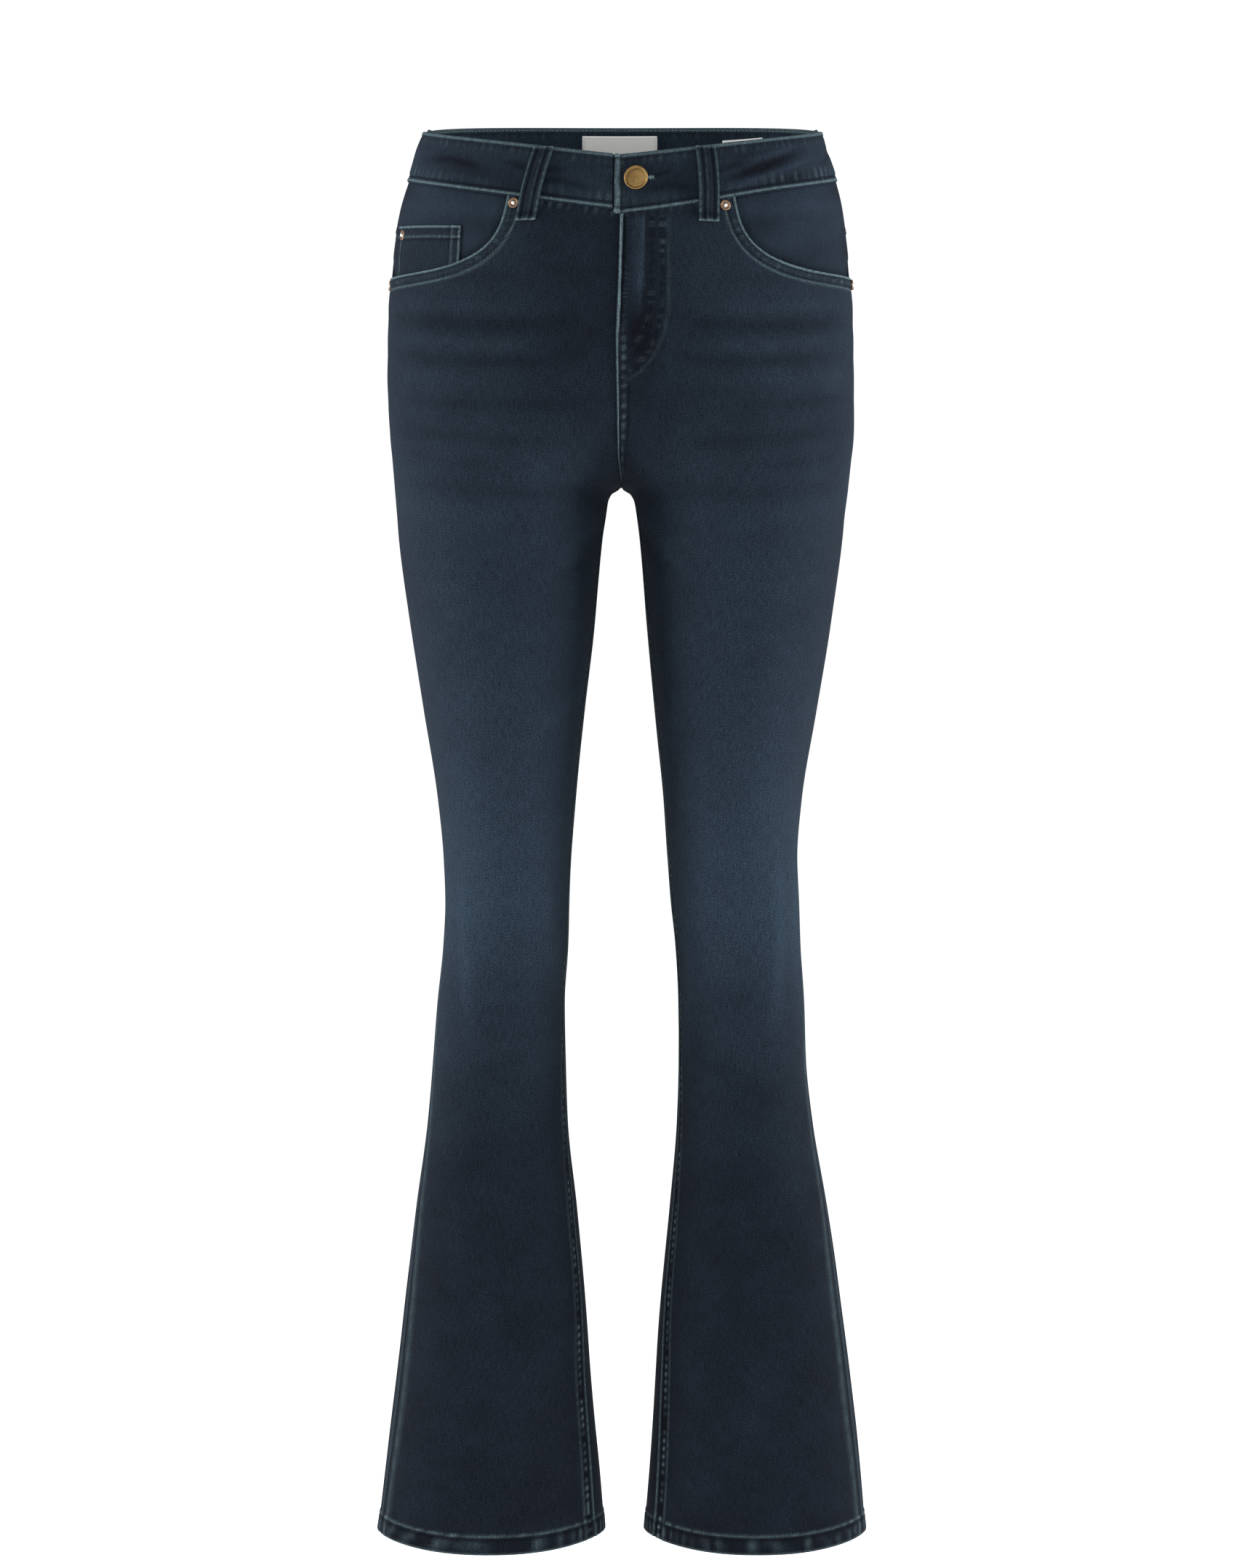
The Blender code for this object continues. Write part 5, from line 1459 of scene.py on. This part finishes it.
# ---------------------------------------------------------------- the garment
twill, indigo = twill_group(), wash_group()
outer_denim = denim("washed_denim", twill, indigo, contrast=1.2)
band_denim = denim("waistband_denim", twill, indigo, contrast=1.1)
inner_denim = denim("unworn_denim", twill, indigo, contrast=0.8, Dark=(0.0050, 0.0064, 0.0104))
navy_thread = thread_material("navy_thread", (0.006, 0.008, 0.013))
pale_thread = thread_material("pale_teal_thread", (0.11, 0.17, 0.17))
button_brass = metal("aged_brass", (0.35, 0.225, 0.085), (0.13, 0.08, 0.03), 0.42)
rivet_copper = metal("aged_copper", (0.36, 0.235, 0.16), (0.12, 0.075, 0.05), 0.4)
rivet_steel = metal("rubbed_steel", (0.95, 0.93, 0.88), (0.75, 0.72, 0.66), 0.3)
white_label = label_cloth()

leg_lines, waist_lines, pocket_lines, hem_lines = [], [], [], []
for side in ("left", "right"):
    front, back, top, pocket = (kind + side for kind in ("front_", "back_", "yoke_", "back_pocket_"))
    leg_from = front_panel(side, outer_denim)
    back_panel(side, outer_denim)
    yoke(side, outer_denim)
    hem_lining(side, inner_denim)
    pocket_facing(side, inner_denim)
    back_pocket(side, outer_denim)
    pocket_lines += [settle(beside(mouth_edge(side), distance), front) for distance in MOUTH_ROWS]
    pocket_lines += [edge_line(pocket, key, distance)
                     for distance in POCKET_ROWS for key in ("across", "right", "low")]
    pocket_lines.append(edge_line(pocket, "down", POCKET_MOUTH_ROW))
    leg_lines += [edge_line(front, "right", INSEAM_ROW, slice(leg_from + 4, None)),
                  edge_line(back, "right", FELL_ROW), edge_line(top, "right", FELL_ROW),
                  edge_line(top, "low", FELL_ROW), edge_line(back, "down", FELL_ROW, slice(0, 30))]
    hem_lines += [edge_line(node, "low", HEM_ROW) for node in (front, back)]
coin_pocket(outer_denim)
waistband(band_denim)
fly_underlap(inner_denim)
for name, side, in_front, top_share, low_share in LOOPS:
    belt_loop(name, band_denim, side, in_front, top_share, low_share)
for name, x_from, x_to, top_z, tall in LABELS:
    label(name, white_label, x_from, x_to, top_z, tall)

# rivets and the button
rivet_places = []
for _, side, u, z, under in RIVETS:
    angle = front_angle(u, z)
    spot, _ = settle(surface(side, angle, z)[None], under, lift=0.45)
    rivet_places.append((spot[0], normal(side, angle, z)))
rivets(rivet_copper, rivet_steel, rivet_places)
waist_button(button_brass)

# stitches
pocket_lines += [edge_line("coin_pocket", key, distance) for key, distance in COIN_ROWS]
waist_lines += [edge_line("waistband", key, distance, trim=2) for key, distance in BAND_ROWS]
for path in FLY_ROWS:
    path = np.array(path)
    steps = np.concatenate([[0], np.cumsum(np.hypot(*np.diff(path, axis=0).T))])
    walk = np.linspace(0, steps[-1], 120)
    x, z = np.interp(walk, steps, path[:, 0]), np.interp(walk, steps, path[:, 1])
    waist_lines.append(settle(surface("left", angle_at("left", x, z, True), z), "front_left"))
for row in LOOPS:
    node = "belt_loop_" + row[0]
    waist_lines += [settle(PIECES[node][0][3:-3, column], node) for column in LOOP_COLUMNS]
hole_x = np.linspace(*HOLE_X, HOLE_POINTS)
count = np.arange(HOLE_POINTS)
hole_z = HOLE_Z + np.where(count % 2, 1.25, -1.0) + 0.5 * np.sin(count * 2.3)
hole_line = settle(surface("left", angle_at("left", hole_x, hole_z, True), hole_z), "waistband")
edge_u = np.linspace(0.02, 0.98, 160)
edge_lines = []
for side in ("left", "right"):
    edge_z = edge(BACK_TOP, edge_u, "top") - 1.3
    place, out = form(side, back_angle(edge_u, edge_z), edge_z)
    edge_lines.append((place + out * ((BAND_LIFT - BAND_THICK - 0.12) * MM), -out))
sewn_rows = stitch_tree()
for name, lines, thread, *sizes in (
        ("buttonhole_threads", [hole_line], pale_thread, 0.9, 1.3, 0.42),
        ("waist_edge_threads", edge_lines, pale_thread, 3.4, 2.4, 0.7),
        ("seam_stitches", leg_lines, navy_thread), ("waist_stitches", waist_lines, navy_thread),
        ("pocket_stitches", pocket_lines, navy_thread),
        ("hem_stitches", hem_lines, navy_thread, 3.6, 2.9, 0.65)):
    sew(name, sewn_rows, lines, thread, "denim", *sizes)


# ---------------------------------------------------------------- floor, lights and camera
PIXEL = 0.565 * MM          # one pixel of the photograph at the middle of the garment
PHOTO_HEIGHT = 2157
CAMERA_AWAY, CAMERA_Z = 3.0, -0.506
FLOOR_Z = -1.45
SKY_LIGHT = 0.25
STUDIO_LIGHTS = (("side_light_left", (-2.8, -0.4, 0.0), (1.2, 2.8), 92),
                 ("side_light_right", (2.8, -0.4, 0.0), (1.2, 2.8), 92),
                 ("front_fill", (0.0, -3.2, 1.0), (2.0, 1.4), 24))


def studio():
    scene = bpy.context.scene
    scene.view_settings.view_transform = "Standard"
    lens = bpy.data.cameras.new("camera")
    half_height = PHOTO_HEIGHT / 2 * PIXEL
    lens.lens = 18 / (half_height / CAMERA_AWAY)
    lens.clip_end = 100
    camera = put("camera", lens)
    camera.location = (0.0, -CAMERA_AWAY, CAMERA_Z)
    camera.rotation_euler = (math.pi / 2, 0, 0)
    scene.camera = camera

    world = bpy.data.worlds.new("studio_world")
    world.use_nodes = True
    sky = world.node_tree
    lit = sky.nodes["Background"]
    feed(sky, lit, {"Color": (1.0, 1.0, 1.0, 1.0), "Strength": SKY_LIGHT})
    seen = add(sky, "ShaderNodeBackground", {"Color": (1.0, 1.0, 1.0, 1.0), "Strength": 1.05})
    rays = add(sky, "ShaderNodeLightPath").outputs["Is Camera Ray"]
    both = add(sky, "ShaderNodeMixShader", {0: rays, 1: lit.outputs[0], 2: seen.outputs[0]})
    feed(sky, sky.nodes["World Output"], {"Surface": both.outputs[0]})
    scene.world = world
    for name, place, size, power in STUDIO_LIGHTS:
        light = bpy.data.lights.new(name, "AREA")
        light.shape, light.size, light.size_y, light.energy = "RECTANGLE", size[0], size[1], power
        lamp = put(name, light)
        lamp.location = place
        aim = Vector((0, 0, -0.5)) - Vector(place)
        lamp.rotation_euler = aim.to_track_quat("-Z", "Y").to_euler()

    reach = 12.0
    corners = np.array([(-reach, -reach, FLOOR_Z), (reach, -reach, FLOOR_Z), (reach, reach, FLOOR_Z),
                        (-reach, reach, FLOOR_Z)])
    mesh = bpy.data.meshes.new("floor")
    mesh.from_pydata(corners.tolist(), [], [(0, 1, 2, 3)])
    floor = put("floor", mesh)
    paper, tree, shader = new_material("pale_floor", 0.9)
    feed(tree, shader, {"Base Color": (0.9, 0.9, 0.9, 1), "Emission Color": (1, 1, 1, 1),
                        "Emission Strength": 0.9})
    floor.data.materials.append(paper)


studio()
